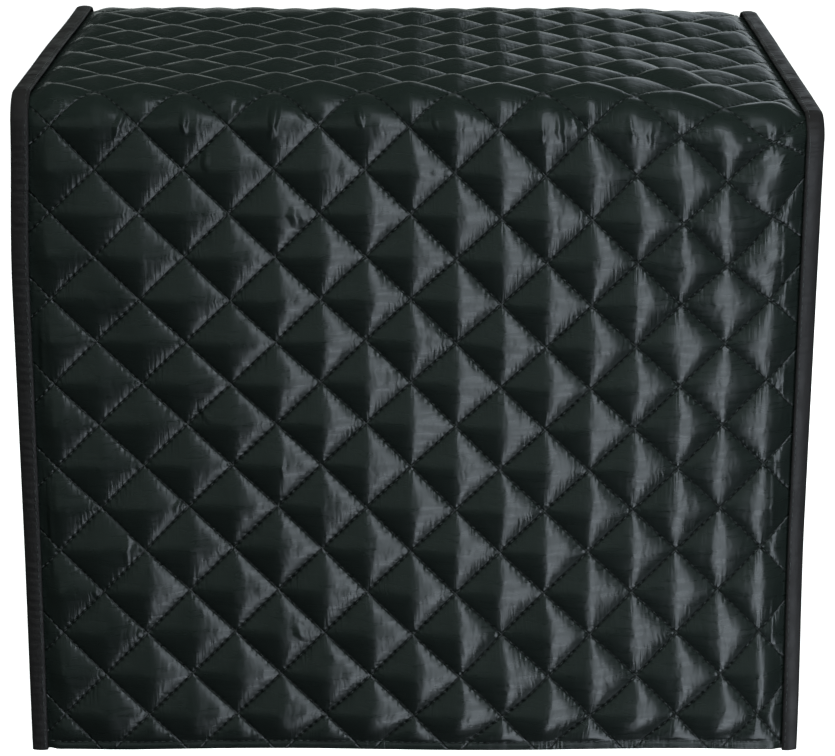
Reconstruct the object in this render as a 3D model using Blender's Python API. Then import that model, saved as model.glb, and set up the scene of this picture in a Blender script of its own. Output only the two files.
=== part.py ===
"""Fitted quilted cover for a worktop appliance.

One strip of diamond-quilted satin runs up the front, over the top and down the back.  A quilted
panel closes each side.  Strip and side panel meet edge to edge, and a folded tape binds the two
edges into a narrow flange that follows the arch of each side.  The hem is turned up on all four
walls and rests on the worktop.

Metres, +Z up, front towards -Y, the hem on z = 0 and the origin in the middle of it.
"""

import math
from collections import namedtuple

import bmesh
import bpy
from mathutils import Vector

# Size of the cover, over the bindings and between the seam lines of the quilting
WIDTH = 0.400
HEIGHT = 0.335
DEPTH = 0.276

# Quilting: diamonds whose corners point along and across the strip
PITCH_ACROSS = 0.0445
PITCH_ALONG = 0.0432
PUFF_HEIGHT = 0.0058
PUFF_SWELL = 0.4
PUFF_FADE = 0.011
LATTICE_SHIFT = -0.0025
STEPS_PER_PITCH = 4
STRAY_FADE = 0.030

# The bend between wall and top takes half a pitch of cloth
BEND_RADIUS = PITCH_ALONG / 2 / (math.pi / 2)
BEND_STEPS = 4

# Thickness of the stitched-down quilt and of its edge inside the binding
CLOTH = 0.0020
LIP = 0.0016
GAP = 0.00035

# Binding tape, folded over both edges
TAPE = 0.0012
TAPE_WIDTH = 0.0090
TAPE_CROWN = 0.0005
TAPE_NOSE = 0.0009
TAPE_EDGE = 0.8

# Hem: turned edge, its row of stitches and its soft roll
HEM_DEPTH = 0.0038
HEM_ROLL = 0.0007
HEM_GROOVE = -0.0003
HEM_PUFF_START = 0.25
HEM_ROLL_START = 0.25
HEM_ROLL_SPAN = 0.6

# The side panel stands inside the flange
SIDE_SETBACK = 0.0108
LEAST_STEP = 0.0040

# How far each seam draws in towards the hem, how far the walls flare there, and the hem's rounded corners
HEM_TAPER_LEFT = 0.0040
HEM_TAPER_RIGHT = 0.0055
TAPER_POWER = 6
FRONT_FLARE = 0.0140
BACK_FLARE = 0.0140
CORNER_REACH = 0.0120
CORNER_LIFT_LEFT = 0.0002
CORNER_LIFT_RIGHT = 0.0006

# The walls stand out in the middle and round back towards the seams, most on the slack right side
WALL_CROWN = 0.0040
ROUND_LEFT = 0.0040
ROUND_RIGHT = 0.0140
ROUND_POWER = 3.2
ROUND_FADE = 0.120

# Slack corners of the arch: centre, reach each way and how far the cloth gives there
Droop = namedtuple("Droop", "x y reach_x reach_y reach_z drop out inward")
DROOPS = (
    Droop(x=0.205, y=-0.138, reach_x=0.130, reach_y=0.200, reach_z=0.040, drop=0.0130, out=0, inward=0),
    Droop(x=-0.205, y=-0.138, reach_x=0.110, reach_y=0.180, reach_z=0.100, drop=0.0005, out=0, inward=0.003),
    Droop(x=0.205, y=0.138, reach_x=0.110, reach_y=0.180, reach_z=0.12, drop=0.0025, out=0.001, inward=0.006),
    Droop(x=-0.205, y=0.138, reach_x=0.110, reach_y=0.180, reach_z=0.12, drop=0.001, out=0.001, inward=0.005),
    Droop(x=0.205, y=0.020, reach_x=0.130, reach_y=0.120, reach_z=0.060, drop=0.0048, out=0, inward=0),
    Droop(x=0.205, y=-0.020, reach_x=0.110, reach_y=0.120, reach_z=0.120, drop=0, out=0, inward=0.0023),
    Droop(x=-0.205, y=0.000, reach_x=0.110, reach_y=0.140, reach_z=0.120, drop=0, out=0, inward=0.003),
    Droop(x=0, y=0.060, reach_x=0.240, reach_y=0.190, reach_z=0.100, drop=0.0025, out=0, inward=0),
)

# Where the quilting runs off the straight on the strip: centre, reach and how far it strays
Stray = namedtuple("Stray", "x t reach_x reach_t across along")
STRAYS = (
    Stray(x=0.075, t=0.260, reach_x=0.105, reach_t=0.160, across=0.0, along=-0.0034),
    Stray(x=0.178, t=0.285, reach_x=0.090, reach_t=0.100, across=0.0, along=-0.0080),
    Stray(x=0.100, t=0.335, reach_x=0.180, reach_t=0.070, across=-0.0028, along=0.0),
    Stray(x=-0.020, t=0.180, reach_x=0.080, reach_t=0.120, across=0.0, along=0.0018),
    Stray(x=0.100, t=0.010, reach_x=0.260, reach_t=0.085, across=0.0045, along=-0.0018),
    Stray(x=-0.090, t=0.130, reach_x=0.110, reach_t=0.110, across=0.0, along=0.0026),
    Stray(x=0.060, t=0.760, reach_x=0.130, reach_t=0.160, across=0.0030, along=0.0030),
)

# Long soft folds of the strip: where they start and end, across the strip and up from its front hem
Fold = namedtuple("Fold", "x_from t_from x_to t_to half_width rise")
FOLDS = (
    Fold(x_from=0.186, t_from=0.300, x_to=0.070, t_to=0.262, half_width=0.024, rise=0.0030),
    Fold(x_from=0.184, t_from=0.262, x_to=0.095, t_to=0.190, half_width=0.026, rise=-0.0026),
    Fold(x_from=0.172, t_from=0.352, x_to=0.085, t_to=0.420, half_width=0.024, rise=0.0028),
    Fold(x_from=-0.176, t_from=0.310, x_to=-0.120, t_to=0.210, half_width=0.026, rise=0.0022),
    Fold(x_from=-0.150, t_from=0.040, x_to=-0.128, t_to=0.150, half_width=0.030, rise=0.0022),
    Fold(x_from=0.060, t_from=0.015, x_to=0.040, t_to=0.110, half_width=0.030, rise=-0.0020),
    Fold(x_from=0.165, t_from=0.860, x_to=0.090, t_to=0.700, half_width=0.030, rise=0.0026),
    Fold(x_from=-0.140, t_from=0.690, x_to=-0.060, t_to=0.800, half_width=0.032, rise=-0.0024),
)

# Gentle waves of the walls, in and out, which stop short of the seams
WALL_WAVE = 0.0016
WALL_WAVE_ACROSS = 0.210
WALL_WAVE_UP = 0.330
WAVE_START_ACROSS = 0.6
WAVE_START_UP = 0.9
WAVE_STOP = 0.060
WAVE_FADE = 0.040

# The side panels belly out, and their hem draws in
SIDE_BOW = 0.0040
SIDE_HEM_DRAW = 0.0014
SIDE_HEM_REACH = 0.080

# The quilting lies flatter where it is pulled over the back bend
BACK_BEND_EASE = 0.60
BACK_BEND_REACH = 0.040
BACK_BEND_CREST = 0.004

# Colours as linear values
QUILT_COLOUR = (0.014, 0.016, 0.018, 1.0)
TAPE_COLOUR = (0.018, 0.015, 0.016, 1.0)
QUILT_ROUGHNESS = 0.42
TAPE_ROUGHNESS = 0.55

MERGE = 0.00001

WALL_TOP = HEIGHT - BEND_RADIUS
BEND_LENGTH = BEND_RADIUS * math.pi / 2
TOP_LENGTH = DEPTH - 2 * BEND_RADIUS
TOP_START = WALL_TOP + BEND_LENGTH
TOP_END = TOP_START + TOP_LENGTH
BACK_START = TOP_END + BEND_LENGTH
STRIP_LENGTH = BACK_START + WALL_TOP
SEAM_STACK = CLOTH + GAP + LIP
EDGE_X = WIDTH / 2 - TAPE - GAP


def clear_scene():
    for obj in list(bpy.data.objects):
        bpy.data.objects.remove(obj, do_unlink=True)


def smooth(share):
    """Eases a share from 0 to 1, flat at both ends."""
    share = min(max(share, 0.0), 1.0)
    return share * share * (3 - 2 * share)


def bump(offset):
    """1 in the middle and 0 from an offset of 1 on."""
    if abs(offset) >= 1:
        return 0.0
    return math.cos(math.pi / 2 * offset) ** 2


def path_point(t):
    """Point and outward direction on the strip's arch, t metres up from the front hem."""
    if t <= WALL_TOP:
        return Vector((0, -DEPTH / 2, t)), Vector((0, -1, 0))
    if t <= TOP_START:
        turn = (t - WALL_TOP) / BEND_RADIUS
        out = Vector((0, -math.cos(turn), math.sin(turn)))
        return Vector((0, -DEPTH / 2 + BEND_RADIUS, WALL_TOP)) + out * BEND_RADIUS, out
    if t <= TOP_END:
        return Vector((0, -DEPTH / 2 + BEND_RADIUS + t - TOP_START, HEIGHT)), Vector((0, 0, 1))
    if t <= BACK_START:
        turn = (t - TOP_END) / BEND_RADIUS
        out = Vector((0, math.sin(turn), math.cos(turn)))
        return Vector((0, DEPTH / 2 - BEND_RADIUS, WALL_TOP)) + out * BEND_RADIUS, out
    return Vector((0, DEPTH / 2, STRIP_LENGTH - t)), Vector((0, 1, 0))


def strip_point(x, t):
    """Point and outward direction on the strip, with the quilting's stray."""
    x, t = strayed(x, t)
    point, out = path_point(t)
    point.x = x
    return point, out


def puff(across, along):
    """Height of the quilting: a soft four-sided peak in each diamond, nothing on its seams."""
    u = across / PITCH_ACROSS
    v = along / PITCH_ALONG
    from_centre = abs(u - round(u)) + abs(v - round(v))
    from_centre = min(from_centre, 1 - from_centre)
    share = 1 - 2 * from_centre
    return PUFF_HEIGHT * share * (1 + PUFF_SWELL - PUFF_SWELL * share)


def hem_roll(height):
    """The turned edge swells below its row of stitches."""
    if height >= HEM_DEPTH:
        return 0.0 if height > HEM_DEPTH + MERGE else HEM_GROOVE
    return HEM_ROLL * math.sin(math.pi * (HEM_ROLL_START + HEM_ROLL_SPAN * height / HEM_DEPTH))


def clear_of_hem(height):
    """How much of the quilting's rise is left at a height over the hem."""
    if height <= HEM_DEPTH + MERGE:
        return 0.0
    return smooth((height - HEM_DEPTH) / PUFF_FADE + HEM_PUFF_START)


def fold_rise(x, t):
    """Long folds of the strip, summed at one place of it."""
    total = 0.0
    for fold in FOLDS:
        run = Vector((fold.x_to - fold.x_from, fold.t_to - fold.t_from))
        place = Vector((x - fold.x_from, t - fold.t_from))
        share = place.dot(run) / run.length_squared
        aside = (place - run * share).length / fold.half_width
        total += fold.rise * bump(aside) * bump(2 * share - 1)
    return total


def strayed(x, t):
    """Where a place of the strip's quilting really lies, a little off the straight grid."""
    across = 0.0
    along = 0.0
    for stray in STRAYS:
        near = bump((x - stray.x) / stray.reach_x) * bump((t - stray.t) / stray.reach_t)
        across += stray.across * near
        along += stray.along * near
    inside = smooth((WIDTH / 2 - TAPE_WIDTH - abs(x)) / STRAY_FADE)
    inside *= smooth((min(t, STRIP_LENGTH - t) - HEM_DEPTH) / STRAY_FADE)
    return x + across * inside, t + along * inside


def settle(point):
    """Takes a place on the taut cover to where the cloth really hangs."""
    side = point.x / (WIDTH / 2)
    low = 1 - point.z / HEIGHT
    moved = point.copy()
    taper = HEM_TAPER_RIGHT if side > 0 else HEM_TAPER_LEFT
    moved.x -= math.copysign(abs(side) ** TAPER_POWER, side) * taper * low
    hold = smooth(point.z / HEIGHT)
    for droop in DROOPS:
        near = bump((point.x - droop.x) / droop.reach_x)
        near *= bump((point.y - droop.y) / droop.reach_y)
        near *= bump((point.z - HEIGHT) / droop.reach_z)
        moved.z -= droop.drop * near * hold
        moved.y += math.copysign(droop.out, droop.y) * near * hold
        moved.x -= math.copysign(droop.inward, droop.x) * near * hold
    facing = point.y / (DEPTH / 2)
    moved.y += facing * low * (FRONT_FLARE if facing < 0 else BACK_FLARE)
    rounding = (ROUND_RIGHT if side > 0 else ROUND_LEFT) * smooth(point.z / ROUND_FADE)
    moved.y += facing * (WALL_CROWN - rounding * abs(side) ** ROUND_POWER)
    wave = math.sin(2 * math.pi * point.x / WALL_WAVE_ACROSS + WAVE_START_ACROSS)
    wave *= math.sin(2 * math.pi * point.z / WALL_WAVE_UP + WAVE_START_UP)
    inside = 1 - smooth((abs(point.x) - WIDTH / 2 + WAVE_STOP) / WAVE_FADE)
    moved.y += facing * WALL_WAVE * wave * inside
    lift = CORNER_LIFT_RIGHT if point.x > 0 else CORNER_LIFT_LEFT
    at_corner = smooth((abs(point.x) - WIDTH / 2 + CORNER_REACH) / CORNER_REACH)
    moved.z += lift * at_corner * max(0.0, 1 - point.z / CORNER_REACH)
    return moved


def merged_stations(fixed, lattice):
    """All fixed places, and each lattice place that isn't close to one of them."""
    kept = [place for place in lattice if all(abs(place - other) >= LEAST_STEP for other in fixed)]
    return sorted(fixed + kept)


def lattice_places(low, high, pitch, shift):
    """Quarter pitches between two ends, counted from the shift."""
    step = pitch / STEPS_PER_PITCH
    first = math.ceil((low - shift) / step)
    last = math.floor((high - shift) / step)
    return [shift + step * count for count in range(first, last + 1)]


def bend_places(start):
    """Places along one bend, both its ends included."""
    return [start + BEND_LENGTH * step / BEND_STEPS for step in range(BEND_STEPS + 1)]


def strip_stations():
    """Places along the strip from the front hem to the back hem."""
    hems = [0.0, HEM_DEPTH / 2, HEM_DEPTH]
    hems += [STRIP_LENGTH - place for place in hems]
    fixed = hems + bend_places(WALL_TOP) + bend_places(TOP_END)
    return merged_stations(fixed, lattice_places(0, STRIP_LENGTH, PITCH_ALONG, TOP_START))


def across_stations():
    """Places across the strip, from edge to edge."""
    inner = WIDTH / 2 - TAPE_WIDTH - GAP
    fixed = [-EDGE_X, -inner, inner, EDGE_X]
    return merged_stations(fixed, lattice_places(-inner, inner, PITCH_ACROSS, LATTICE_SHIFT))


def every_other(places, always=()):
    """Indices of the first, each second and the last place, and of each place in a kept range."""
    picked = {0, len(places) - 1}
    picked |= set(range(0, len(places), 2))
    for low, high in always:
        picked |= {index for index, place in enumerate(places) if low - MERGE <= place <= high + MERGE}
    return sorted(picked)


def grid_corners(mesh, columns, rows, place):
    """A grid of quads whose corner (column, row) is moved to place(column, row)."""
    made = bmesh.ops.create_grid(mesh, x_segments=columns, y_segments=rows, size=1.0)
    corners = {}
    for vert in made["verts"]:
        column = round((vert.co.x + 1) / 2 * columns)
        row = round((vert.co.y + 1) / 2 * rows)
        corners[column, row] = vert
        vert.co = place(column, row)
    return corners


def border_of(columns, rows):
    """Corner places round a grid's border, once round."""
    around = [(columns[0], row) for row in rows[:-1]]
    around += [(column, rows[-1]) for column in columns[:-1]]
    around += [(columns[-1], row) for row in reversed(rows[1:])]
    around += [(column, rows[0]) for column in reversed(columns[1:])]
    return around


def close_rim(mesh, outer, inner, columns, rows, few_columns, few_rows):
    """Closes the edge between a fine outer face and an inner face with fewer corners."""
    fine = border_of(list(range(columns)), list(range(rows)))
    coarse = border_of(few_columns, few_rows)
    inner_at = {place: inner[few_columns.index(place[0]), few_rows.index(place[1])] for place in coarse}
    marks = [fine.index(place) for place in coarse]
    for count, start in enumerate(marks):
        following = (count + 1) % len(marks)
        stop = marks[following] if following else len(fine)
        near = inner_at[coarse[count]]
        far = inner_at[coarse[following]]
        for index in range(start, stop):
            mesh.faces.new((outer[fine[index]], near, outer[fine[(index + 1) % len(fine)]]))
        mesh.faces.new((outer[fine[stop % len(fine)]], near, far))


def finish_object(name, mesh, material):
    """Closes a mesh into an object of the scene."""
    bmesh.ops.remove_doubles(mesh, verts=mesh.verts[:], dist=MERGE)
    bmesh.ops.dissolve_degenerate(mesh, edges=mesh.edges[:], dist=MERGE)
    bmesh.ops.recalc_face_normals(mesh, faces=mesh.faces[:])
    bmesh.ops.triangulate(mesh, faces=mesh.faces[:], quad_method="SHORT_EDGE")
    data = bpy.data.meshes.new(name)
    mesh.to_mesh(data)
    mesh.free()
    data.materials.append(material)
    obj = bpy.data.objects.new(name, data)
    bpy.context.scene.collection.objects.link(obj)
    return obj


def split_quilt(mesh, corners, columns, rows, seam_runs_up):
    """Splits each quad along the diagonal that a seam takes through it."""
    for column in range(columns - 1):
        for row in range(rows - 1):
            low_left = corners[column, row]
            low_right = corners[column + 1, row]
            up_left = corners[column, row + 1]
            up_right = corners[column + 1, row + 1]
            face = mesh.faces.get((low_left, low_right, up_right, up_left))
            if face is None:
                continue
            ends = (low_left, up_right) if seam_runs_up(column, row) else (low_right, up_left)
            bmesh.utils.face_split(face, ends[0], ends[1])


def runs_up(across, along):
    """Whether the seam through the quarter cell at this place rises with both places."""
    u = across / PITCH_ACROSS
    v = along / PITCH_ALONG
    u -= math.floor(u)
    v -= math.floor(v)
    return (u < 0.5) != (v < 0.5)


def sheet(name, across, along, few_across, few_along, outer_at, inner_at, seam_up, material):
    """A closed quilted sheet: a fine outer face, a plainer inner face and the rim between them."""
    mesh = bmesh.new()
    columns = len(across)
    rows = len(along)
    outer = grid_corners(mesh, columns - 1, rows - 1, outer_at)
    split_quilt(mesh, outer, columns, rows, seam_up)
    inner = grid_corners(
        mesh,
        len(few_across) - 1,
        len(few_along) - 1,
        lambda column, row: inner_at(few_across[column], few_along[row]),
    )
    close_rim(mesh, outer, inner, columns, rows, few_across, few_along)
    return finish_object(name, mesh, material)


def build_strip(material):
    """Front, top and back in one piece."""
    across = across_stations()
    along = strip_stations()
    inner_edge = WIDTH / 2 - TAPE_WIDTH - GAP

    def clear_of_tape(x):
        return smooth((inner_edge - abs(x)) / PUFF_FADE)

    def eased(t):
        return 1 - BACK_BEND_EASE * bump((t - TOP_END - BACK_BEND_CREST) / BACK_BEND_REACH)

    def outer_at(column, row):
        x = across[column]
        t = along[row]
        point, out = strip_point(x, t)
        height = min(t, STRIP_LENGTH - t)
        raised = puff(x - LATTICE_SHIFT, t - TOP_START) * clear_of_tape(x) * clear_of_hem(height) * eased(t)
        raised += hem_roll(height) * smooth((inner_edge - abs(x)) / LEAST_STEP)
        raised += fold_rise(x, t) * clear_of_tape(x)
        return settle(point + out * raised)

    def inner_at(column, row):
        x = across[column]
        t = along[row]
        point, out = strip_point(x, t)
        return settle(point + out * (fold_rise(x, t) * clear_of_tape(x) - CLOTH))

    def seam_up(column, row):
        x = (across[column] + across[column + 1]) / 2 - LATTICE_SHIFT
        t = (along[row] + along[row + 1]) / 2 - TOP_START
        return runs_up(x, t)

    bends = ((WALL_TOP, TOP_START), (TOP_END, BACK_START))
    return sheet(
        "wrap_panel",
        across,
        along,
        every_other(across),
        every_other(along, bends),
        outer_at,
        inner_at,
        seam_up,
        material,
    )


def build_side(name, side, material):
    """One side panel, its edge turned outwards into the flange."""
    half = DEPTH / 2
    tangent = math.tan(math.pi / 8)
    arc_start = half - BEND_RADIUS
    corner = [arc_start, arc_start + BEND_RADIUS * tangent, half, half]
    fixed_y = [-place for place in corner] + corner
    fixed_z = [0.0, HEM_DEPTH / 2, HEM_DEPTH, WALL_TOP, WALL_TOP + BEND_RADIUS * tangent, HEIGHT, HEIGHT]
    across = merged_stations(fixed_y, lattice_places(-arc_start, arc_start, PITCH_ACROSS, 0.0))
    along = merged_stations(fixed_z, lattice_places(0, WALL_TOP, PITCH_ALONG, WALL_TOP))
    last_column = len(across) - 1
    last_row = len(along) - 1
    face_x = WIDTH / 2 - SIDE_SETBACK

    def on_lip(column, row):
        return column in (0, last_column) or row == last_row

    def on_arch(column, row):
        return column in (0, 1, last_column - 1, last_column) or row >= last_row - 1

    def outline(column, row, inset):
        """Place in the panel's own plane, the arch drawn in by the inset."""
        y = across[column]
        z = along[row]
        if not on_arch(column, row):
            return y, z
        over = Vector((max(0.0, abs(y) - arc_start), max(0.0, z - WALL_TOP)))
        if over.x > 0 and over.y > 0:
            over = over.normalized() * (BEND_RADIUS - inset)
            return math.copysign(arc_start + over.x, y), WALL_TOP + over.y
        if over.y > 0:
            return y, HEIGHT - inset
        return math.copysign(half - inset, y), z

    def bow(y, z):
        belly = SIDE_BOW * math.sin(math.pi * z / HEIGHT)
        return bump(y / half) * (belly - SIDE_HEM_DRAW * bump(z / SIDE_HEM_REACH))

    def clear(y, z):
        from_arch = min(half - abs(y), HEIGHT - z) - TAPE_WIDTH
        return smooth(from_arch / PUFF_FADE) * clear_of_hem(z)

    def outer_at(column, row):
        y, z = outline(column, row, SEAM_STACK)
        if on_lip(column, row):
            return settle(Vector((side * EDGE_X, y, z)))
        raised = puff(y, z - WALL_TOP) * clear(y, z) + bow(y, z)
        if not on_arch(column, row):
            raised += hem_roll(z)
        return settle(Vector((side * (face_x + raised), y, z)))

    def inner_at(column, row):
        y, z = outline(column, row, CLOTH + GAP)
        if on_lip(column, row):
            return settle(Vector((side * EDGE_X, y, z)))
        return settle(Vector((side * (face_x + bow(y, z) - CLOTH), y, z)))

    def seam_up(column, row):
        y = (across[column] + across[column + 1]) / 2
        z = (along[row] + along[row + 1]) / 2 - WALL_TOP
        return runs_up(y, z)

    arch = ((-half, -arc_start), (arc_start, half))
    return sheet(
        name,
        across,
        along,
        every_other(across, arch),
        every_other(along, ((WALL_TOP, HEIGHT),)),
        outer_at,
        inner_at,
        seam_up,
        material,
    )


def tape_profile():
    """Folded tape in section: distance in from the flange's edge, and out from the strip."""
    front = GAP
    back = -(SEAM_STACK + GAP)
    return (
        (TAPE_WIDTH, front),
        (TAPE_WIDTH, front + TAPE_EDGE * TAPE),
        (TAPE_WIDTH / 2, front + TAPE + TAPE_CROWN),
        (TAPE_NOSE, front + TAPE),
        (0.0, front + TAPE - TAPE_NOSE),
        (0.0, back - TAPE + TAPE_NOSE),
        (TAPE_NOSE, back - TAPE),
        (TAPE_WIDTH, back - TAPE),
        (TAPE_WIDTH, back),
        (TAPE, back),
        (TAPE, front),
    )


def build_binding(name, side, material):
    """Tape over the flange, from the front hem over the top to the back hem."""
    stations = strip_stations()
    bends = ((WALL_TOP, TOP_START), (TOP_END, BACK_START))
    stations = [stations[index] for index in every_other(stations, bends)]
    profile = tape_profile()

    def place(t, inwards, outwards):
        point, out = path_point(t)
        point.x = side * (WIDTH / 2 - inwards)
        return settle(point + out * outwards)

    mesh = bmesh.new()
    rings = [[mesh.verts.new(place(t, *pair)) for pair in profile] for t in stations]
    for ring, following in zip(rings, rings[1:]):
        for near in range(len(profile)):
            far = (near + 1) % len(profile)
            mesh.faces.new((ring[near], ring[far], following[far], following[near]))
    mesh.faces.new(rings[0])
    mesh.faces.new(rings[-1])
    return finish_object(name, mesh, material)


def cloth_material(name, colour, roughness):
    """A plain Principled finish of the part's colour."""
    material = bpy.data.materials.new(name)
    material.use_nodes = True
    shader = material.node_tree.nodes["Principled BSDF"]
    shader.inputs["Base Color"].default_value = colour
    shader.inputs["Roughness"].default_value = roughness
    shader.inputs["Metallic"].default_value = 0.0
    material.diffuse_color = colour
    return material


def main():
    clear_scene()
    quilt = cloth_material("black_quilted_satin", QUILT_COLOUR, QUILT_ROUGHNESS)
    tape = cloth_material("black_bias_tape", TAPE_COLOUR, TAPE_ROUGHNESS)
    build_strip(quilt)
    for name, side in (("left", -1), ("right", 1)):
        build_side("side_panel_" + name, side, quilt)
        build_binding("binding_" + name, side, tape)


main()
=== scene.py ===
"""Dresses the fitted quilted cover: satin on its wadding, bound seams, turned hem and sewing."""

import logging
import math
from abc import ABC, abstractmethod
from collections.abc import Callable, Iterator
from dataclasses import dataclass
from enum import Enum

import bmesh
import bpy
from mathutils import Matrix, Vector, noise


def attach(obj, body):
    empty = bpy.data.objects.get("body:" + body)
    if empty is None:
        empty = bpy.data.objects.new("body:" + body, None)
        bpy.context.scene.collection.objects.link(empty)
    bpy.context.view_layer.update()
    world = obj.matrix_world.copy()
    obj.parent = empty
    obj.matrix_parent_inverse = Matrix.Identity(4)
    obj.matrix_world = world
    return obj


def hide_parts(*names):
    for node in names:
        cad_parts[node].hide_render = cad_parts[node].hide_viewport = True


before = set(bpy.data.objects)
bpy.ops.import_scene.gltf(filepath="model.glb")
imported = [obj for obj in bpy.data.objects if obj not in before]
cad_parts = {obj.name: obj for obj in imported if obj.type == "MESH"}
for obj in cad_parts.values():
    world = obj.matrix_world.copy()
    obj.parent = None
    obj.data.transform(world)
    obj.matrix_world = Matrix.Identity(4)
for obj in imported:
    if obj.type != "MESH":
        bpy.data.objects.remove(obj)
LOG = logging.getLogger("cover")
BODY = "root"
MERGE = 0.00001
MAP_SPAN = 32.0
MAP_MIDDLE = 0.5
SEAM = 0.5
STEP_ROOM = 0.45
CREASE_LAYER = "crease"
NO_CREASE = (9.0, 9.0, 0.0)
COOL = (0.82, 0.91, 1.0)
GREEN_TINT = (0.84, 1.0, 0.95)
GREEN_PALE = (0.88, 1.0, 0.95)
GREEN_FAINT = (0.90, 1.0, 0.97)
SEED_SCALE = (7.31, 5.17)
SEED_SHIFT = (0.37, 0.71, 0.53)
CHANCE_RATE = 1.37
CHANCE_GAIN = 1.7

Pair = tuple[float, float]
Triple = tuple[float, float, float]
Colour = tuple[float, float, float, float]
Band = tuple[float, float, float, float]
Socket = bpy.types.NodeSocket
Surface = Callable[[float, float], Vector]
Corners = dict[tuple[int, int], bmesh.types.BMVert]
Diamonds = dict[bmesh.types.BMVert, Pair]


class Side(Enum):
    """The two bound seams, by the sign of their X."""

    LEFT = -1
    RIGHT = 1


def smooth(share: float) -> float:
    """Ease a share from 0 to 1, flat at both ends."""
    share = min(max(share, 0.0), 1.0)
    return share * share * (3 - 2 * share)


def bump(offset: float) -> float:
    """Give a soft hump.

    Args:
        offset: Distance from the middle, in half widths.

    Returns:
        1 in the middle, and 0 from an offset of 1 on.
    """
    if abs(offset) >= 1:
        return 0.0
    return math.cos(math.pi / 2 * offset) ** 2


def chance(first: float, second: float) -> float:
    """Give a fixed value for a place, so that no two diamonds are alike.

    Args:
        first: One number of the place.
        second: Its other number.

    Returns:
        A value between -1 and 1.
    """
    across = first * SEED_SCALE[0] + SEED_SHIFT[0]
    along = second * SEED_SCALE[1] + SEED_SHIFT[1]
    place = Vector((across, along, SEED_SHIFT[2])) * CHANCE_RATE
    return max(-1.0, min(1.0, CHANCE_GAIN * noise.noise(place)))


@dataclass(frozen=True)
class Cut:
    """Sizes of the cover as it is cut and sewn, in metres."""

    width: float = 0.400
    height: float = 0.335
    depth: float = 0.276
    pitch_across: float = 0.0445
    pitch_along: float = 0.0432
    puff: float = 0.0058
    puff_fade: float = 0.011
    lattice_shift: float = -0.0025
    cloth: float = 0.0020
    lip: float = 0.0016
    gap: float = 0.00035
    tape: float = 0.0012
    tape_width: float = 0.0090
    hem_depth: float = 0.0038
    hem_roll: float = 0.0007
    hem_start: float = 0.25
    hem_span: float = 0.7
    hem_shares: tuple[float, ...] = (0.0, 0.2, 0.5, 0.8, 1.0)
    hem_push: float = 0.25
    side_setback: float = 0.0108
    stitch: float = 0.0037

    @property
    def bend_radius(self) -> float:
        """Radius of the bend between a wall and the top."""
        return self.pitch_along / 2 / (math.pi / 2)

    @property
    def wall_top(self) -> float:
        """Height at which a wall starts to bend over."""
        return self.height - self.bend_radius

    @property
    def top_start(self) -> float:
        """Way along the strip at which the flat top starts."""
        return self.wall_top + self.bend_radius * math.pi / 2

    @property
    def top_end(self) -> float:
        """Way along the strip at which the flat top ends."""
        return self.top_start + self.depth - 2 * self.bend_radius

    @property
    def back_start(self) -> float:
        """Way along the strip at which the back wall starts."""
        return self.top_end + self.bend_radius * math.pi / 2

    @property
    def strip_length(self) -> float:
        """Length of the strip from hem to hem."""
        return self.back_start + self.wall_top

    @property
    def seam_stack(self) -> float:
        """Thickness of strip and side panel where they are sewn together."""
        return self.cloth + self.gap + self.lip

    @property
    def edge_x(self) -> float:
        """Where the strip ends inside the tape."""
        return self.width / 2 - self.tape - self.gap

    @property
    def inner_edge(self) -> float:
        """Where the strip comes out from under the tape."""
        return self.width / 2 - self.tape_width - self.gap

    @property
    def seam_step(self) -> float:
        """Distance between neighbouring lines of quilting."""
        return 1 / math.hypot(1 / self.pitch_across, 1 / self.pitch_along)

    @property
    def hem_places(self) -> list[float]:
        """Heights of the rows of corners in the turned hem."""
        return [self.hem_depth * share for share in self.hem_shares]

    def hem_swell(self, height: float) -> float:
        """Give how far the turned hem swells at a height in it."""
        return self.hem_roll * math.sin(math.pi * (self.hem_start + self.hem_span * height / self.hem_depth))

    def over_hem(self, height: float) -> float:
        """Give the share of the quilting's rise at a height over the hem.

        Args:
            height: Height over the rim.

        Returns:
            0 in the hem, and 1 a little over it.
        """
        if height <= self.hem_depth:
            return 0.0
        return smooth((height - self.hem_depth) / self.puff_fade + self.hem_push)


@dataclass(frozen=True)
class Droop:
    """A slack corner of the arch: centre, reach each way and how far the cloth gives there."""

    x: float
    y: float
    reach_x: float
    reach_y: float
    reach_z: float
    drop: float
    out: float
    inward: float


@dataclass(frozen=True)
class Stray:
    """A place where the quilting runs off the straight on the strip."""

    x: float
    t: float
    reach_x: float
    reach_t: float
    across: float
    along: float


@dataclass(frozen=True)
class Fold:
    """A long soft fold of the strip, from one place on it to another."""

    x_from: float
    t_from: float
    x_to: float
    t_to: float
    half_width: float
    rise: float


@dataclass(frozen=True)
class Ring:
    """A round pucker where slack cloth stands up in a rim: centre, reach each way, rim and rise."""

    x: float
    t: float
    reach_x: float
    reach_t: float
    rim: float
    rise: float


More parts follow.
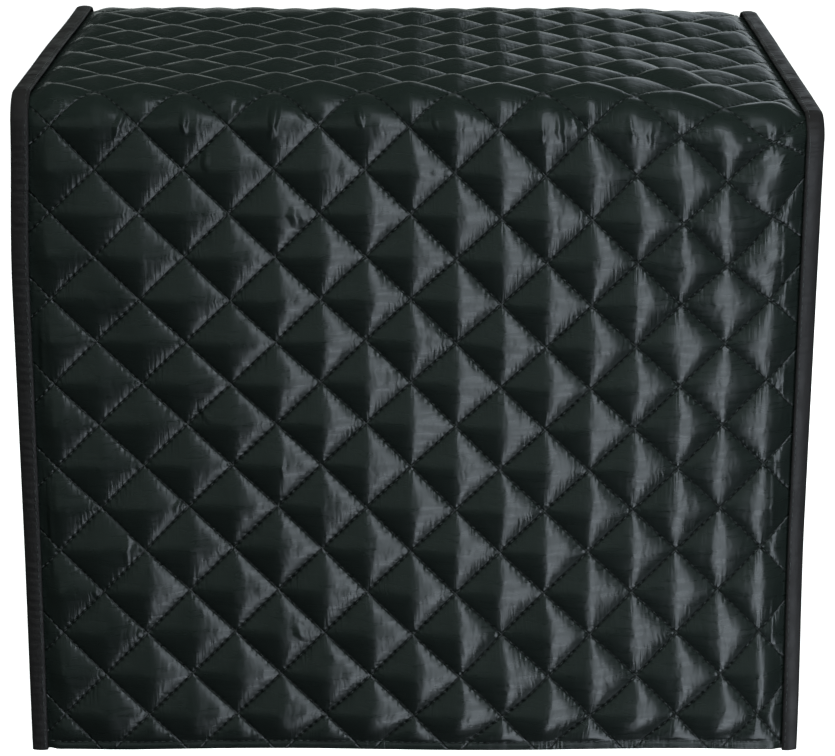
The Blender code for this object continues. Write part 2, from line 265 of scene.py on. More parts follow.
@dataclass(frozen=True)
class Drape:
    """How the taut cut settles over the appliance."""

    cut: Cut
    stray_fade: float = 0.030
    taper_left: float = 0.0040
    taper_right: float = 0.0055
    taper_power: float = 6
    flare: float = 0.0140
    corner_reach: float = 0.0120
    corner_lift_left: float = 0.0002
    corner_lift_right: float = 0.0006
    wall_crown: float = 0.0040
    round_left: float = 0.0040
    round_right: float = 0.0140
    round_power: float = 3.2
    round_fade: float = 0.120
    wall_wave: float = 0.0016
    wall_wave_across: float = 0.210
    wall_wave_up: float = 0.330
    wall_wave_start: Pair = (0.6, 0.9)
    wall_wave_clear: float = 0.060
    wall_wave_fade: float = 0.040
    side_bow: float = 0.0040
    bend_ease: float = 0.60
    bend_ease_reach: float = 0.040
    bend_ease_crest: float = 0.004
    seam_draw: float = 0.0014
    seam_draw_reach: float = 0.0060
    droops: tuple[Droop, ...] = (
        Droop(0.205, -0.138, 0.130, 0.200, 0.040, 0.0130, 0.000, 0.000),
        Droop(-0.205, -0.138, 0.110, 0.180, 0.100, 0.0005, 0.000, 0.003),
        Droop(0.205, 0.138, 0.110, 0.180, 0.120, 0.0025, 0.001, 0.006),
        Droop(-0.205, 0.138, 0.110, 0.180, 0.120, 0.0010, 0.001, 0.005),
        Droop(0.205, 0.020, 0.130, 0.120, 0.060, 0.0048, 0.000, 0.000),
        Droop(0.205, -0.020, 0.110, 0.120, 0.120, 0.0000, 0.000, 0.0023),
        Droop(-0.205, 0.000, 0.110, 0.140, 0.120, 0.0000, 0.000, 0.003),
        Droop(0.000, 0.060, 0.240, 0.190, 0.100, 0.0025, 0.000, 0.000),
    )
    strays: tuple[Stray, ...] = (
        Stray(0.075, 0.260, 0.105, 0.160, 0.0, -0.0034),
        Stray(0.178, 0.285, 0.090, 0.100, 0.0, -0.0080),
        Stray(0.100, 0.335, 0.180, 0.070, -0.0028, 0.0),
        Stray(-0.020, 0.180, 0.080, 0.120, 0.0, 0.0018),
        Stray(0.100, 0.010, 0.260, 0.085, 0.0045, -0.0018),
        Stray(-0.090, 0.130, 0.110, 0.110, 0.0, 0.0026),
        Stray(0.060, 0.760, 0.130, 0.160, 0.0030, 0.0030),
    )
    folds: tuple[Fold, ...] = (
        Fold(0.186, 0.300, 0.070, 0.262, 0.024, 0.0030),
        Fold(0.184, 0.262, 0.095, 0.190, 0.026, -0.0026),
        Fold(0.172, 0.352, 0.085, 0.420, 0.024, 0.0028),
        Fold(-0.176, 0.310, -0.120, 0.210, 0.026, 0.0022),
        Fold(-0.150, 0.040, -0.128, 0.150, 0.030, 0.0022),
        Fold(0.060, 0.015, 0.040, 0.110, 0.030, -0.0020),
        Fold(0.165, 0.860, 0.090, 0.700, 0.030, 0.0026),
        Fold(-0.140, 0.690, -0.060, 0.800, 0.032, -0.0024),
    )
    rings: tuple[Ring, ...] = (
        Ring(0.1550, 0.3180, 0.0105, 0.0140, 0.50, 0.0006),
    )

    def path_point(self, t: float) -> tuple[Vector, Vector]:
        """Find a place on the strip's arch.

        Args:
            t: Way up from the front hem along the strip.

        Returns:
            The point in the middle plane and the outward direction there.
        """
        cut = self.cut
        half = cut.depth / 2
        if t <= cut.wall_top:
            return Vector((0, -half, t)), Vector((0, -1, 0))
        if t <= cut.top_start:
            turn = (t - cut.wall_top) / cut.bend_radius
            out = Vector((0, -math.cos(turn), math.sin(turn)))
            return Vector((0, cut.bend_radius - half, cut.wall_top)) + out * cut.bend_radius, out
        if t <= cut.top_end:
            return Vector((0, cut.bend_radius - half + t - cut.top_start, cut.height)), Vector((0, 0, 1))
        if t <= cut.back_start:
            turn = (t - cut.top_end) / cut.bend_radius
            out = Vector((0, math.sin(turn), math.cos(turn)))
            return Vector((0, half - cut.bend_radius, cut.wall_top)) + out * cut.bend_radius, out
        return Vector((0, half, cut.strip_length - t)), Vector((0, 1, 0))

    def strayed(self, x: float, t: float) -> Pair:
        """Find where a place of the strip's quilting really lies.

        Args:
            x: Place across the strip.
            t: Way up from the front hem along the strip.

        Returns:
            The strayed place, across and along.
        """
        cut = self.cut
        across = 0.0
        along = 0.0
        for stray in self.strays:
            near = bump((x - stray.x) / stray.reach_x) * bump((t - stray.t) / stray.reach_t)
            across += stray.across * near
            along += stray.along * near
        inside = smooth((cut.width / 2 - cut.tape_width - abs(x)) / self.stray_fade)
        inside *= smooth((min(t, cut.strip_length - t) - cut.hem_depth) / self.stray_fade)
        return x + across * inside, t + along * inside

    def fold_rise(self, x: float, t: float) -> float:
        """Sum the strip's long folds at one place of it.

        Args:
            x: Place across the strip.
            t: Way up from the front hem along the strip.

        Returns:
            How far the folds stand out, in metres.
        """
        total = 0.0
        for fold in self.folds:
            run_x = fold.x_to - fold.x_from
            run_t = fold.t_to - fold.t_from
            length = math.hypot(run_x, run_t)
            ahead = ((x - fold.x_from) * run_x + (t - fold.t_from) * run_t) / length
            aside = ((x - fold.x_from) * run_t - (t - fold.t_from) * run_x) / length
            total += fold.rise * bump(aside / fold.half_width) * bump(2 * ahead / length - 1)
        return total

    def ring_rise(self, x: float, t: float) -> float:
        """Sum the strip's round puckers at one place of it.

        Args:
            x: Place across the strip.
            t: Way up from the front hem along the strip.

        Returns:
            How far the puckers' rims stand out, in metres.
        """
        total = 0.0
        for ring in self.rings:
            away = math.hypot((x - ring.x) / ring.reach_x, (t - ring.t) / ring.reach_t)
            total += ring.rise * bump((away - 1 + ring.rim) / ring.rim)
        return total

    def eased(self, t: float) -> float:
        """Share of the quilting's rise left where it is pulled over the back bend."""
        return 1 - self.bend_ease * bump((t - self.cut.top_end - self.bend_ease_crest) / self.bend_ease_reach)

    def settle(self, point: Vector) -> Vector:
        """Take a place on the taut cover to where the cloth really hangs.

        Args:
            point: The place on the taut cover.

        Returns:
            The place where the cloth hangs.
        """
        cut = self.cut
        side = point.x / (cut.width / 2)
        low = 1 - point.z / cut.height
        moved = point.copy()
        taper = self.taper_right if side > 0 else self.taper_left
        moved.x -= math.copysign(abs(side) ** self.taper_power, side) * taper * low
        hold = smooth(point.z / cut.height)
        for droop in self.droops:
            near = bump((point.x - droop.x) / droop.reach_x)
            near *= bump((point.y - droop.y) / droop.reach_y)
            near *= bump((point.z - cut.height) / droop.reach_z)
            moved.z -= droop.drop * near * hold
            moved.y += math.copysign(droop.out, droop.y) * near * hold
            moved.x -= math.copysign(droop.inward, droop.x) * near * hold
        facing = point.y / (cut.depth / 2)
        moved.y += facing * low * self.flare
        rounding = self.round_right if side > 0 else self.round_left
        rounding *= smooth(point.z / self.round_fade)
        moved.y += facing * (self.wall_crown - rounding * abs(side) ** self.round_power)
        wave = math.sin(2 * math.pi * point.x / self.wall_wave_across + self.wall_wave_start[0])
        wave *= math.sin(2 * math.pi * point.z / self.wall_wave_up + self.wall_wave_start[1])
        inside = 1 - smooth((abs(point.x) - cut.width / 2 + self.wall_wave_clear) / self.wall_wave_fade)
        moved.y += facing * self.wall_wave * wave * inside
        lift = self.corner_lift_right if point.x > 0 else self.corner_lift_left
        at_corner = smooth((abs(point.x) - cut.width / 2 + self.corner_reach) / self.corner_reach)
        moved.z += lift * at_corner * max(0.0, 1 - point.z / self.corner_reach)
        return moved


@dataclass(frozen=True)
class Quilting:
    """The raised diamonds and the way each one differs from its neighbours."""

    cut: Cut
    rise_spread: float = 0.07
    ridge_drift: float = 0.05
    ridge_wave: float = 0.04
    ridge_wave_rate: Pair = (3.1, 6.0)
    rise_seed: float = 31.0
    tuck: float = 0.15
    tuck_power: float = 7.0
    round_crisp: float = 0.10
    round_slack: float = 0.42
    slack_from: float = 0.060
    slack_to: float = 0.130
    slack_height: float = 0.86
    taut_from: float = 0.060
    taut_to: float = 0.150
    taut_height: float = 0.80

    def raised(self, across: float, along: float) -> float:
        """Height of the quilt over its sewn lines.

        Args:
            across: Place across the lattice from one of its diamond centres.
            along: Place along the lattice from one of its diamond centres.

        Returns:
            The height in metres, 0 on the sewn lines.
        """
        u = across / self.cut.pitch_across
        v = along / self.cut.pitch_along
        p = round(u + v)
        q = round(u - v)
        centre_u = (p + q) / 2
        centre_v = (p - q) / 2
        reach = SEAM - abs(v - centre_v)
        if reach <= 0:
            return 0.0
        ridge = self.ridge_drift * chance(centre_u, centre_v)
        rate = self.ridge_wave_rate
        ridge += self.ridge_wave * noise.noise(Vector((centre_u * rate[0], v * rate[1], centre_v)))
        ridge *= reach
        offset = u - centre_u - ridge
        aside = min(1.0, abs(offset) / (reach - math.copysign(1.0, offset) * ridge))
        slack = smooth((across - self.slack_from) / (self.slack_to - self.slack_from))
        rounding = self.round_crisp + (self.round_slack - self.round_crisp) * slack
        fall = (math.hypot(aside, rounding) - rounding) / (math.hypot(1.0, rounding) - rounding)
        share = 2 * reach * (1 - fall)
        rise = self.cut.puff * (1 + self.rise_spread * chance(centre_v + self.rise_seed, centre_u))
        rise *= 1 + (self.slack_height - 1) * slack
        taut = smooth((-across - self.taut_from) / (self.taut_to - self.taut_from))
        rise *= 1 + (self.taut_height - 1) * taut
        return rise * ((1 - self.tuck) * share + self.tuck * (1 - (1 - share) ** self.tuck_power))

    def sewn_lines(self, low: Pair, high: Pair) -> Iterator[list[Pair]]:
        """Walk each line of quilting over a range of the lattice.

        Args:
            low: Lowest lattice place, across and along.
            high: Highest lattice place, across and along.

        Returns:
            The lattice places of each line in turn, one per stitch end.
        """
        low_u, low_v = low
        high_u, high_v = high
        step = self.cut.stitch / self.cut.seam_step
        low_p = math.floor(low_u + low_v) - 1
        high_p = math.ceil(high_u + high_v) + 1
        low_q = math.floor(low_u - high_v) - 1
        high_q = math.ceil(high_u - low_v) + 1
        for rising in (False, True):
            lines = range(low_p, high_p) if rising else range(low_q, high_q)
            ways = (low_q, high_q) if rising else (low_p, high_p)
            for line in lines:
                places = []
                for index in range(math.ceil(ways[0] / step), math.floor(ways[1] / step) + 1):
                    way = index * step
                    p, q = (line + SEAM, way) if rising else (way, line + SEAM)
                    u = (p + q) / 2
                    v = (p - q) / 2
                    if low_u <= u <= high_u and low_v <= v <= high_v:
                        places.append((u, v))
                if len(places) > 1:
                    yield places


@dataclass(frozen=True)
class Pattern:
    """A noise pattern: how it is stretched each way, its scale and its detail."""

    stretch: Triple
    scale: float
    detail: float


class NodeDesk:
    """Lays out the nodes of one procedural finish."""

    def __init__(self, name: str) -> None:
        """Start a material with its Principled shader.

        Args:
            name: Name of the material.
        """
        self.material = bpy.data.materials.new(name)
        self.material.use_nodes = True
        self.tree = self.material.node_tree
        self.shader = self.tree.nodes["Principled BSDF"]

    def node(self, kind: str, **settings: str) -> bpy.types.Node:
        """Add a node and set its own options.

        Args:
            kind: Blender's name for the kind of node.
            settings: The node's own options by name.

        Returns:
            The new node.
        """
        made = self.tree.nodes.new(kind)
        for key, value in settings.items():
            setattr(made, key, value)
        return made

    def feed(self, socket: Socket, value: Socket | float | Colour) -> None:
        """Link a socket, or set it where the value is plain.

        Args:
            socket: The input socket.
            value: An output socket, a number or a colour.
        """
        if isinstance(value, bpy.types.NodeSocket):
            self.tree.links.new(value, socket)
        else:
            socket.default_value = value

    def surface(self, name: str, value: Socket | float | Colour) -> None:
        """Link or set one of the shader's own sockets."""
        self.feed(self.shader.inputs[name], value)

    def math(self, operation: str, first: Socket | float, second: Socket | float = 0.0) -> Socket:
        """Combine two numbers.

        Args:
            operation: Blender's name for the sum to do.
            first: The first number.
            second: The second number.

        Returns:
            The outcome.
        """
        made = self.node("ShaderNodeMath", operation=operation)
        self.feed(made.inputs[0], first)
        self.feed(made.inputs[1], second)
        return made.outputs[0]

    def ramp(self, value: Socket, low: float, high: float, start: float, stop: float) -> Socket:
        """Ease a number from one range to another.

        Args:
            value: The number.
            low: Where the first range starts.
            high: Where the first range ends.
            start: What low becomes.
            stop: What high becomes.

        Returns:
            The eased number.
        """
        made = self.node("ShaderNodeMapRange", interpolation_type="SMOOTHSTEP")
        for socket, entry in zip(made.inputs, (value, low, high, start, stop)):
            self.feed(socket, entry)
        return made.outputs[0]

    def uv(self, scale: Triple, shift: Triple) -> Socket:
        """Read the piece's own map.

        Args:
            scale: How much the map is scaled each way.
            shift: How far it is then moved.

        Returns:
            The place on the map.
        """
        coordinates = self.node("ShaderNodeTexCoord")
        mapping = self.node("ShaderNodeMapping")
        self.feed(mapping.inputs["Vector"], coordinates.outputs["UV"])
        mapping.inputs["Scale"].default_value = scale
        mapping.inputs["Location"].default_value = shift
        return mapping.outputs[0]

    def split(self, place: Socket) -> list[Socket]:
        """Split a place into its three numbers.

        Args:
            place: The place.

        Returns:
            Its X, Y and Z.
        """
        made = self.node("ShaderNodeSeparateXYZ")
        self.feed(made.inputs[0], place)
        return list(made.outputs)

    def grain(self, place: Socket, pattern: Pattern) -> Socket:
        """Add a noise pattern.

        Args:
            place: Where the pattern is read.
            pattern: What it looks like.

        Returns:
            Its value from 0 to 1.
        """
        mapping = self.node("ShaderNodeMapping")
        self.feed(mapping.inputs["Vector"], place)
        mapping.inputs["Scale"].default_value = pattern.stretch
        made = self.node("ShaderNodeTexNoise")
        self.feed(made.inputs["Vector"], mapping.outputs[0])
        made.inputs["Scale"].default_value = pattern.scale
        made.inputs["Detail"].default_value = pattern.detail
        return made.outputs[0]

    def total(self, parts: list[Socket]) -> Socket:
        """Add up numbers.

        Args:
            parts: The numbers.

        Returns:
            Their sum.
        """
        result = parts[0]
        for part in parts[1:]:
            result = self.math("ADD", result, part)
        return result

    def relief(self, height: Socket) -> None:
        """Feed a height to the shader as relief.

        Args:
            height: The height in metres.
        """
        made = self.node("ShaderNodeBump")
        made.inputs["Strength"].default_value = 1.0
        made.inputs["Distance"].default_value = 1.0
        self.feed(made.inputs["Height"], height)
        self.surface("Normal", made.outputs[0])


@dataclass(frozen=True)
class Crease:
    """A short upright crease: centre, half width and half length in diamonds, turn and rise."""

    u: float
    v: float
    across: float
    along: float
    turn: float
    rise: float

    def local(self, u: float, v: float, pad: float = 0.0) -> Pair:
        """Give a place from the crease's own centre.

        Args:
            u: Lattice place across.
            v: Lattice place along.
            pad: What is added to the crease's half sizes.

        Returns:
            The place in the crease's half sizes, aside and ahead.
        """
        run = u - self.u
        climb = v - self.v
        aside = run * math.cos(self.turn) + climb * math.sin(self.turn)
        ahead = climb * math.cos(self.turn) - run * math.sin(self.turn)
        return aside / (self.across + pad), ahead / (self.along + pad)


CREASES = (
    Crease(1.47, -0.50, 0.050, 0.180, 0.00, 0.00049),
    Crease(1.67, -0.45, 0.060, 0.230, 0.10, 0.00057),
    Crease(1.85, -0.42, 0.050, 0.170, 0.25, 0.00047),
    Crease(2.45, -0.47, 0.060, 0.190, 0.12, 0.00052),
    Crease(2.67, -0.50, 0.050, 0.200, -0.10, 0.00043),
    Crease(0.29, -0.44, 0.050, 0.090, 0.00, 0.00055),
    Crease(2.79, -0.33, 0.050, 0.090, 0.00, 0.00042),
    Crease(2.89, -0.09, 0.050, 0.110, 0.10, 0.00041),
    Crease(3.76, -0.40, 0.050, 0.060, 0.70, 0.00038),
    Crease(4.02, -0.34, 0.060, 0.120, -0.35, 0.00045),
    Crease(4.10, -0.80, 0.050, 0.120, -0.50, 0.00038),
    Crease(3.90, -0.66, 0.090, 0.240, -0.65, 0.00067),
    Crease(-3.21, -0.51, 0.065, 0.200, -0.32, 0.00092),
    Crease(-2.47, -0.47, 0.070, 0.150, 0.03, 0.00115),
    Crease(-1.49, -0.44, 0.080, 0.260, -0.15, 0.00130),
    Crease(-1.19, -0.36, 0.060, 0.170, 0.78, 0.00088),
    Crease(-1.83, -0.28, 0.080, 0.170, -0.64, 0.00110),
    Crease(-0.55, -0.40, 0.070, 0.150, 0.15, 0.00098),
    Crease(-3.21, -5.47, 0.060, 0.250, -0.06, 0.00045),
    Crease(-2.61, -4.98, 0.060, 0.180, -0.30, 0.00045),
    Crease(-1.43, -4.50, 0.050, 0.170, 0.00, 0.00038),
    Crease(-3.58, -5.99, 0.060, 0.130, 0.00, 0.00045),
    Crease(-3.04, -6.44, 0.070, 0.150, -0.60, 0.00053),
    Crease(0.24, -2.97, 0.092, 0.120, 0.00, -0.00027),
    Crease(-0.31, -3.32, 0.103, 0.300, 0.12, -0.00030),
    Crease(1.66, -1.51, 0.081, 0.110, 0.00, -0.00024),
    Crease(0.22, -0.99, 0.092, 0.080, 0.00, -0.00027),
    Crease(-2.64, -3.80, 0.070, 0.160, -0.70, 0.00053),
    Crease(-2.30, -3.86, 0.065, 0.140, 0.50, 0.00049),
    Crease(-1.26, -1.54, 0.090, 0.180, 0.25, 0.00067),
    Crease(-2.24, -0.89, 0.070, 0.170, -0.10, 0.00097),
    Crease(-1.26, -6.48, 0.080, 0.150, 0.60, 0.00060),
    Crease(0.70, -5.45, 0.092, 0.130, 0.20, -0.00027),
    Crease(4.16, -2.10, 0.055, 0.750, 0.02, 0.00041),
    Crease(4.20, -3.55, 0.050, 0.600, -0.02, 0.00038),
    Crease(4.14, -4.90, 0.055, 0.650, 0.02, 0.00041),
    Crease(4.17, -6.30, 0.050, 0.550, -0.02, 0.00038),
    Crease(-4.12, -3.20, 0.055, 0.800, 0.00, 0.00041),
    Crease(-4.10, -5.30, 0.055, 0.800, 0.02, 0.00041),
)


@dataclass(frozen=True)
class SatinFinish:
    """Black satin with its weave, needle puckers, short creases and sunken sewing lines, and shade painted
    into its colour down those lines.
    """

    cut: Cut
    name: str = "black_quilted_satin_cloth"
    colour: Colour = (0.0085, 0.0118, 0.0105, 1.0)
    # Painted shade: the darker colour given to the cloth down in its sunken sewing lines, and the band over
    # which it fades in.
    groove_painted_shade_colour: Colour = (0.0030, 0.0040, 0.0038, 1.0)
    groove_painted_shade_band: Band = (-0.9, -0.1, 1.0, 0.0)
    gloss: Band = (0.35, 0.65, 0.265, 0.345)
    groove: float = 0.00030
    groove_width: float = 0.0008
    puckers: Pattern = Pattern((38.0, 3.2, 1.0), 1.0, 1.0)
    pucker: float = 0.00034
    pucker_start: float = 0.0003
    pucker_reach: Pair = (0.0040, 0.0105)
    pucker_patches: Pattern = Pattern((1.0, 1.0, 1.0), 1.35, 2.0)
    pucker_share: Band = (0.36, 0.60, 0.25, 1.0)
    tuft: float = 0.00010
    tuft_start: float = 0.0004
    tuft_reach: float = 0.0022
    crumples: Pattern = Pattern((1.9, 0.8, 1.0), 1.6, 3.0)
    crumple: float = 0.0010
    wefts: Pattern = Pattern((1.2, 8.0, 1.0), 2.0, 1.5)
    weft: float = 0.00010
    streaks: Pattern = Pattern((11.0, 0.8, 1.0), 1.0, 1.0)
    streak: float = 0.00050
    streak_drop: float = 0.34
    streak_reach: Pair = (0.10, 0.55)
    streak_patches: Pattern = Pattern((1.0, 1.0, 1.0), 2.1, 1.0)
    streak_share: Band = (0.45, 0.62, 0.1, 1.0)

    def make(self) -> bpy.types.Material:
        """Build the finish.

        Returns:
            The material that reads the cloth's own map.
        """
        desk = NodeDesk(self.name)
        shift = -MAP_SPAN * MAP_MIDDLE
        place = desk.uv((MAP_SPAN, MAP_SPAN, 1.0), (shift, shift, 0.0))
        groove, comb = self.sewing(desk, place)
        weft = desk.grain(place, self.wefts)
        heights = [
            comb,
            desk.math("MULTIPLY", groove, self.groove),
            desk.math("MULTIPLY", desk.grain(place, self.crumples), self.crumple),
            desk.math("MULTIPLY", weft, self.weft),
            self.bend_streaks(desk, place),
            self.short_creases(desk),
        ]
        desk.relief(desk.total(heights))
        desk.surface("Roughness", desk.ramp(weft, *self.gloss))
        # Painted shade: the base colour is darkened down in the sunken sewing lines.
        desk.surface("Base Color", self.shade(desk, groove))
        return desk.material

    def sewing(self, desk: NodeDesk, place: Socket) -> tuple[Socket, Socket]:
        """Work out the sunken sewing lines and the puckers beside them.

        Args:
            desk: The finish's nodes.
            place: The cloth's map in diamonds.

        Returns:
            The groove from -1 to 0, and the puckers in metres.
        """
        across, along, _ = desk.split(place)
        rising = desk.math("ADD", across, along)
        falling = desk.math("SUBTRACT", across, along)
        stitches = 2 * math.pi * self.cut.seam_step / self.cut.stitch
        grooves = []
        nears = []
        tufts = []
        for seam, way, reach in zip((rising, falling), (falling, rising), self.pucker_reach):
            away = desk.math("ABSOLUTE", desk.math("SUBTRACT", desk.math("FRACT", seam), SEAM))
            away = desk.math("MULTIPLY", away, self.cut.seam_step)
            grooves.append(desk.ramp(away, 0.0, self.groove_width, -1.0, 0.0))
            nears.append(desk.ramp(away, self.pucker_start, reach, self.pucker, 0.0))
            wave = desk.math("COSINE", desk.math("MULTIPLY", way, stitches))
            tuft = desk.ramp(away, self.tuft_start, self.tuft_reach, self.tuft, 0.0)
            tufts.append(desk.math("MULTIPLY", wave, tuft))
        gathers = desk.math("SUBTRACT", desk.grain(place, self.puckers), 0.5)
        near = desk.math("MAXIMUM", nears[0], nears[1])
        patch = desk.ramp(desk.grain(place, self.pucker_patches), *self.pucker_share)
        comb = desk.math("MULTIPLY", desk.math("MULTIPLY", gathers, near), patch)
        comb = desk.math("SUBTRACT", comb, desk.math("ADD", tufts[0], tufts[1]))
        return desk.math("MINIMUM", grooves[0], grooves[1]), comb

    def bend_streaks(self, desk: NodeDesk, place: Socket) -> Socket:
        """Crowd upright streaks where the wall bends over into the top.

        Args:
            desk: The finish's nodes.
            place: The cloth's map in diamonds.

        Returns:
            The streaks in metres.
        """
        away = desk.math("ABSOLUTE", desk.math("ADD", desk.split(place)[1], self.streak_drop))
        near = desk.ramp(away, *self.streak_reach, self.streak, 0.0)
        patch = desk.ramp(desk.grain(place, self.streak_patches), *self.streak_share)
        streaks = desk.grain(place, self.streaks)
        return desk.math("MULTIPLY", desk.math("MULTIPLY", streaks, near), patch)

    def short_creases(self, desk: NodeDesk) -> Socket:
        """Raise or sink the short creases that the cloth's mesh carries.

        Args:
            desk: The finish's nodes.

        Returns:
            The creases in metres.
        """
        carried = desk.node("ShaderNodeAttribute", attribute_name=CREASE_LAYER)
        aside, ahead, rise = desk.split(carried.outputs["Vector"])
        square = desk.math("ADD", desk.math("MULTIPLY", aside, aside), desk.math("MULTIPLY", ahead, ahead))
        near = desk.ramp(desk.math("SQRT", square), 0.0, 1.0, 1.0, 0.0)
        return desk.math("MULTIPLY", near, rise)

    def shade(self, desk: NodeDesk, groove: Socket) -> Socket:
        """Paint shade into the cloth's colour down in its sunken sewing lines, where they would lie in
        shadow.

        Args:
            desk: The finish's nodes.
            groove: The groove from -1 to 0.

        Returns:
            The cloth's colour, darker down the sewing lines with painted shade.
        """
        ramp = desk.node("ShaderNodeValToRGB")
        for element, colour in zip(ramp.color_ramp.elements, (self.colour, self.groove_painted_shade_colour)):
            element.color = colour
        desk.feed(ramp.inputs[0], desk.ramp(groove, *self.groove_painted_shade_band))
        return ramp.outputs[0]


@dataclass(frozen=True)
class TapeFinish:
    """Warm black woven tape with fine ribs."""

    name: str = "black_bias_tape_weave"
    colour: Colour = (0.0135, 0.0120, 0.0122, 1.0)
    specular: float = 0.30
    gloss: Band = (0.3, 0.7, 0.46, 0.62)
    clouds: Pattern = Pattern((4.0, 60.0, 1.0), 1.0, 2.0)
    cloud: float = 0.0004
    ribs: Pattern = Pattern((40.0, 700.0, 1.0), 1.0, 2.0)
    rib: float = 0.00008

    def make(self) -> bpy.types.Material:
        """Build the finish.

        Returns:
            The material that reads the tape's own map.
        """
        desk = NodeDesk(self.name)
        place = desk.uv((1.0, 1.0, 1.0), (0.0, 0.0, 0.0))
        cloud = desk.grain(place, self.clouds)
        clouds = desk.math("MULTIPLY", cloud, self.cloud)
        ribs = desk.math("MULTIPLY", desk.grain(place, self.ribs), self.rib)
        desk.surface("Base Color", self.colour)
        desk.surface("Specular IOR Level", self.specular)
        desk.surface("Roughness", desk.ramp(cloud, *self.gloss))
        desk.relief(desk.total([clouds, ribs]))
        return desk.material


@dataclass(frozen=True)
class ThreadFinish:
    """Black polyester sewing thread with its twist."""

    name: str = "black_sewing_thread"
    colour: Colour = (0.040, 0.044, 0.043, 1.0)
    gloss: Band = (0.3, 0.7, 0.30, 0.46)
    twists: Pattern = Pattern((1.0, 1.0, 1.0), 1800.0, 1.0)
    twist: float = 0.00005

    def make(self) -> bpy.types.Material:
        """Build the finish.

        Returns:
            The material that reads the thread's own coordinates.
        """
        desk = NodeDesk(self.name)
        coordinates = desk.node("ShaderNodeTexCoord")
        twist = desk.grain(coordinates.outputs["Object"], self.twists)
        desk.surface("Base Color", self.colour)
        desk.surface("Roughness", desk.ramp(twist, *self.gloss))
        desk.relief(desk.math("MULTIPLY", twist, self.twist))
        return desk.material


def grid(mesh: bmesh.types.BMesh, columns: int, rows: int, place: Callable[[int, int], Vector]) -> Corners:
    """Lay a grid of quads and move its corners.

    Args:
        mesh: The mesh that takes the grid.
        columns: Number of quads one way.
        rows: Number of quads the other way.
        place: Gives the point of corner (column, row).

    Returns:
        The vertex of each (column, row).
    """
    made = bmesh.ops.create_grid(mesh, x_segments=columns, y_segments=rows, size=1.0)
    corners = {}
    for vert in made["verts"]:
        column = round((vert.co.x + 1) / 2 * columns)
        row = round((vert.co.y + 1) / 2 * rows)
        corners[column, row] = vert
        vert.co = place(column, row)
    return corners


def finish_piece(
    name: str, mesh: bmesh.types.BMesh, material: bpy.types.Material
) -> bpy.types.Object:
    """Turn a mesh into a piece that rides on the cover.

    Args:
        name: Name of the piece.
        mesh: Its finished mesh, which is freed.
        material: Its finish.

    Returns:
        The piece, at the origin.
    """
    for face in mesh.faces:
        face.smooth = True
    data = bpy.data.meshes.new(name)
    mesh.to_mesh(data)
    mesh.free()
    data.materials.append(material)
    piece = bpy.data.objects.new(name, data)
    bpy.context.scene.collection.objects.link(piece)
    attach(piece, BODY)
    LOG.info("%s: %d faces", name, len(data.polygons))
    return piece


def ladder(ends: Pair, pitch: float, shift: float, steps: int, fixed: list[float]) -> list[float]:
    """Find places between two ends that keep to the lattice.

    Args:
        ends: The two ends, the lower one first.
        pitch: Size of a diamond this way.
        shift: A diamond centre.
        steps: Quads to a diamond.
        fixed: Places that are kept as they are.

    Returns:
        All places in order.
    """
    step = pitch / steps
    first = math.ceil((ends[0] - shift) / step)
    last = math.floor((ends[1] - shift) / step)
    places = [shift + step * index for index in range(first, last + 1)]
    kept = [place for place in places if all(abs(place - other) >= STEP_ROOM * step for other in fixed)]
    return sorted(fixed + kept)


def border(columns: list[int], rows: list[int]) -> list[tuple[int, int]]:
    """Walk once round a grid's border.

    Args:
        columns: The grid's columns in order.
        rows: Its rows in order.

    Returns:
        The (column, row) of each corner on the way.
    """
    around = [(columns[0], row) for row in rows[:-1]]
    around += [(column, rows[-1]) for column in columns[:-1]]
    around += [(columns[-1], row) for row in reversed(rows[1:])]
    around += [(column, rows[0]) for column in reversed(columns[1:])]
    return around


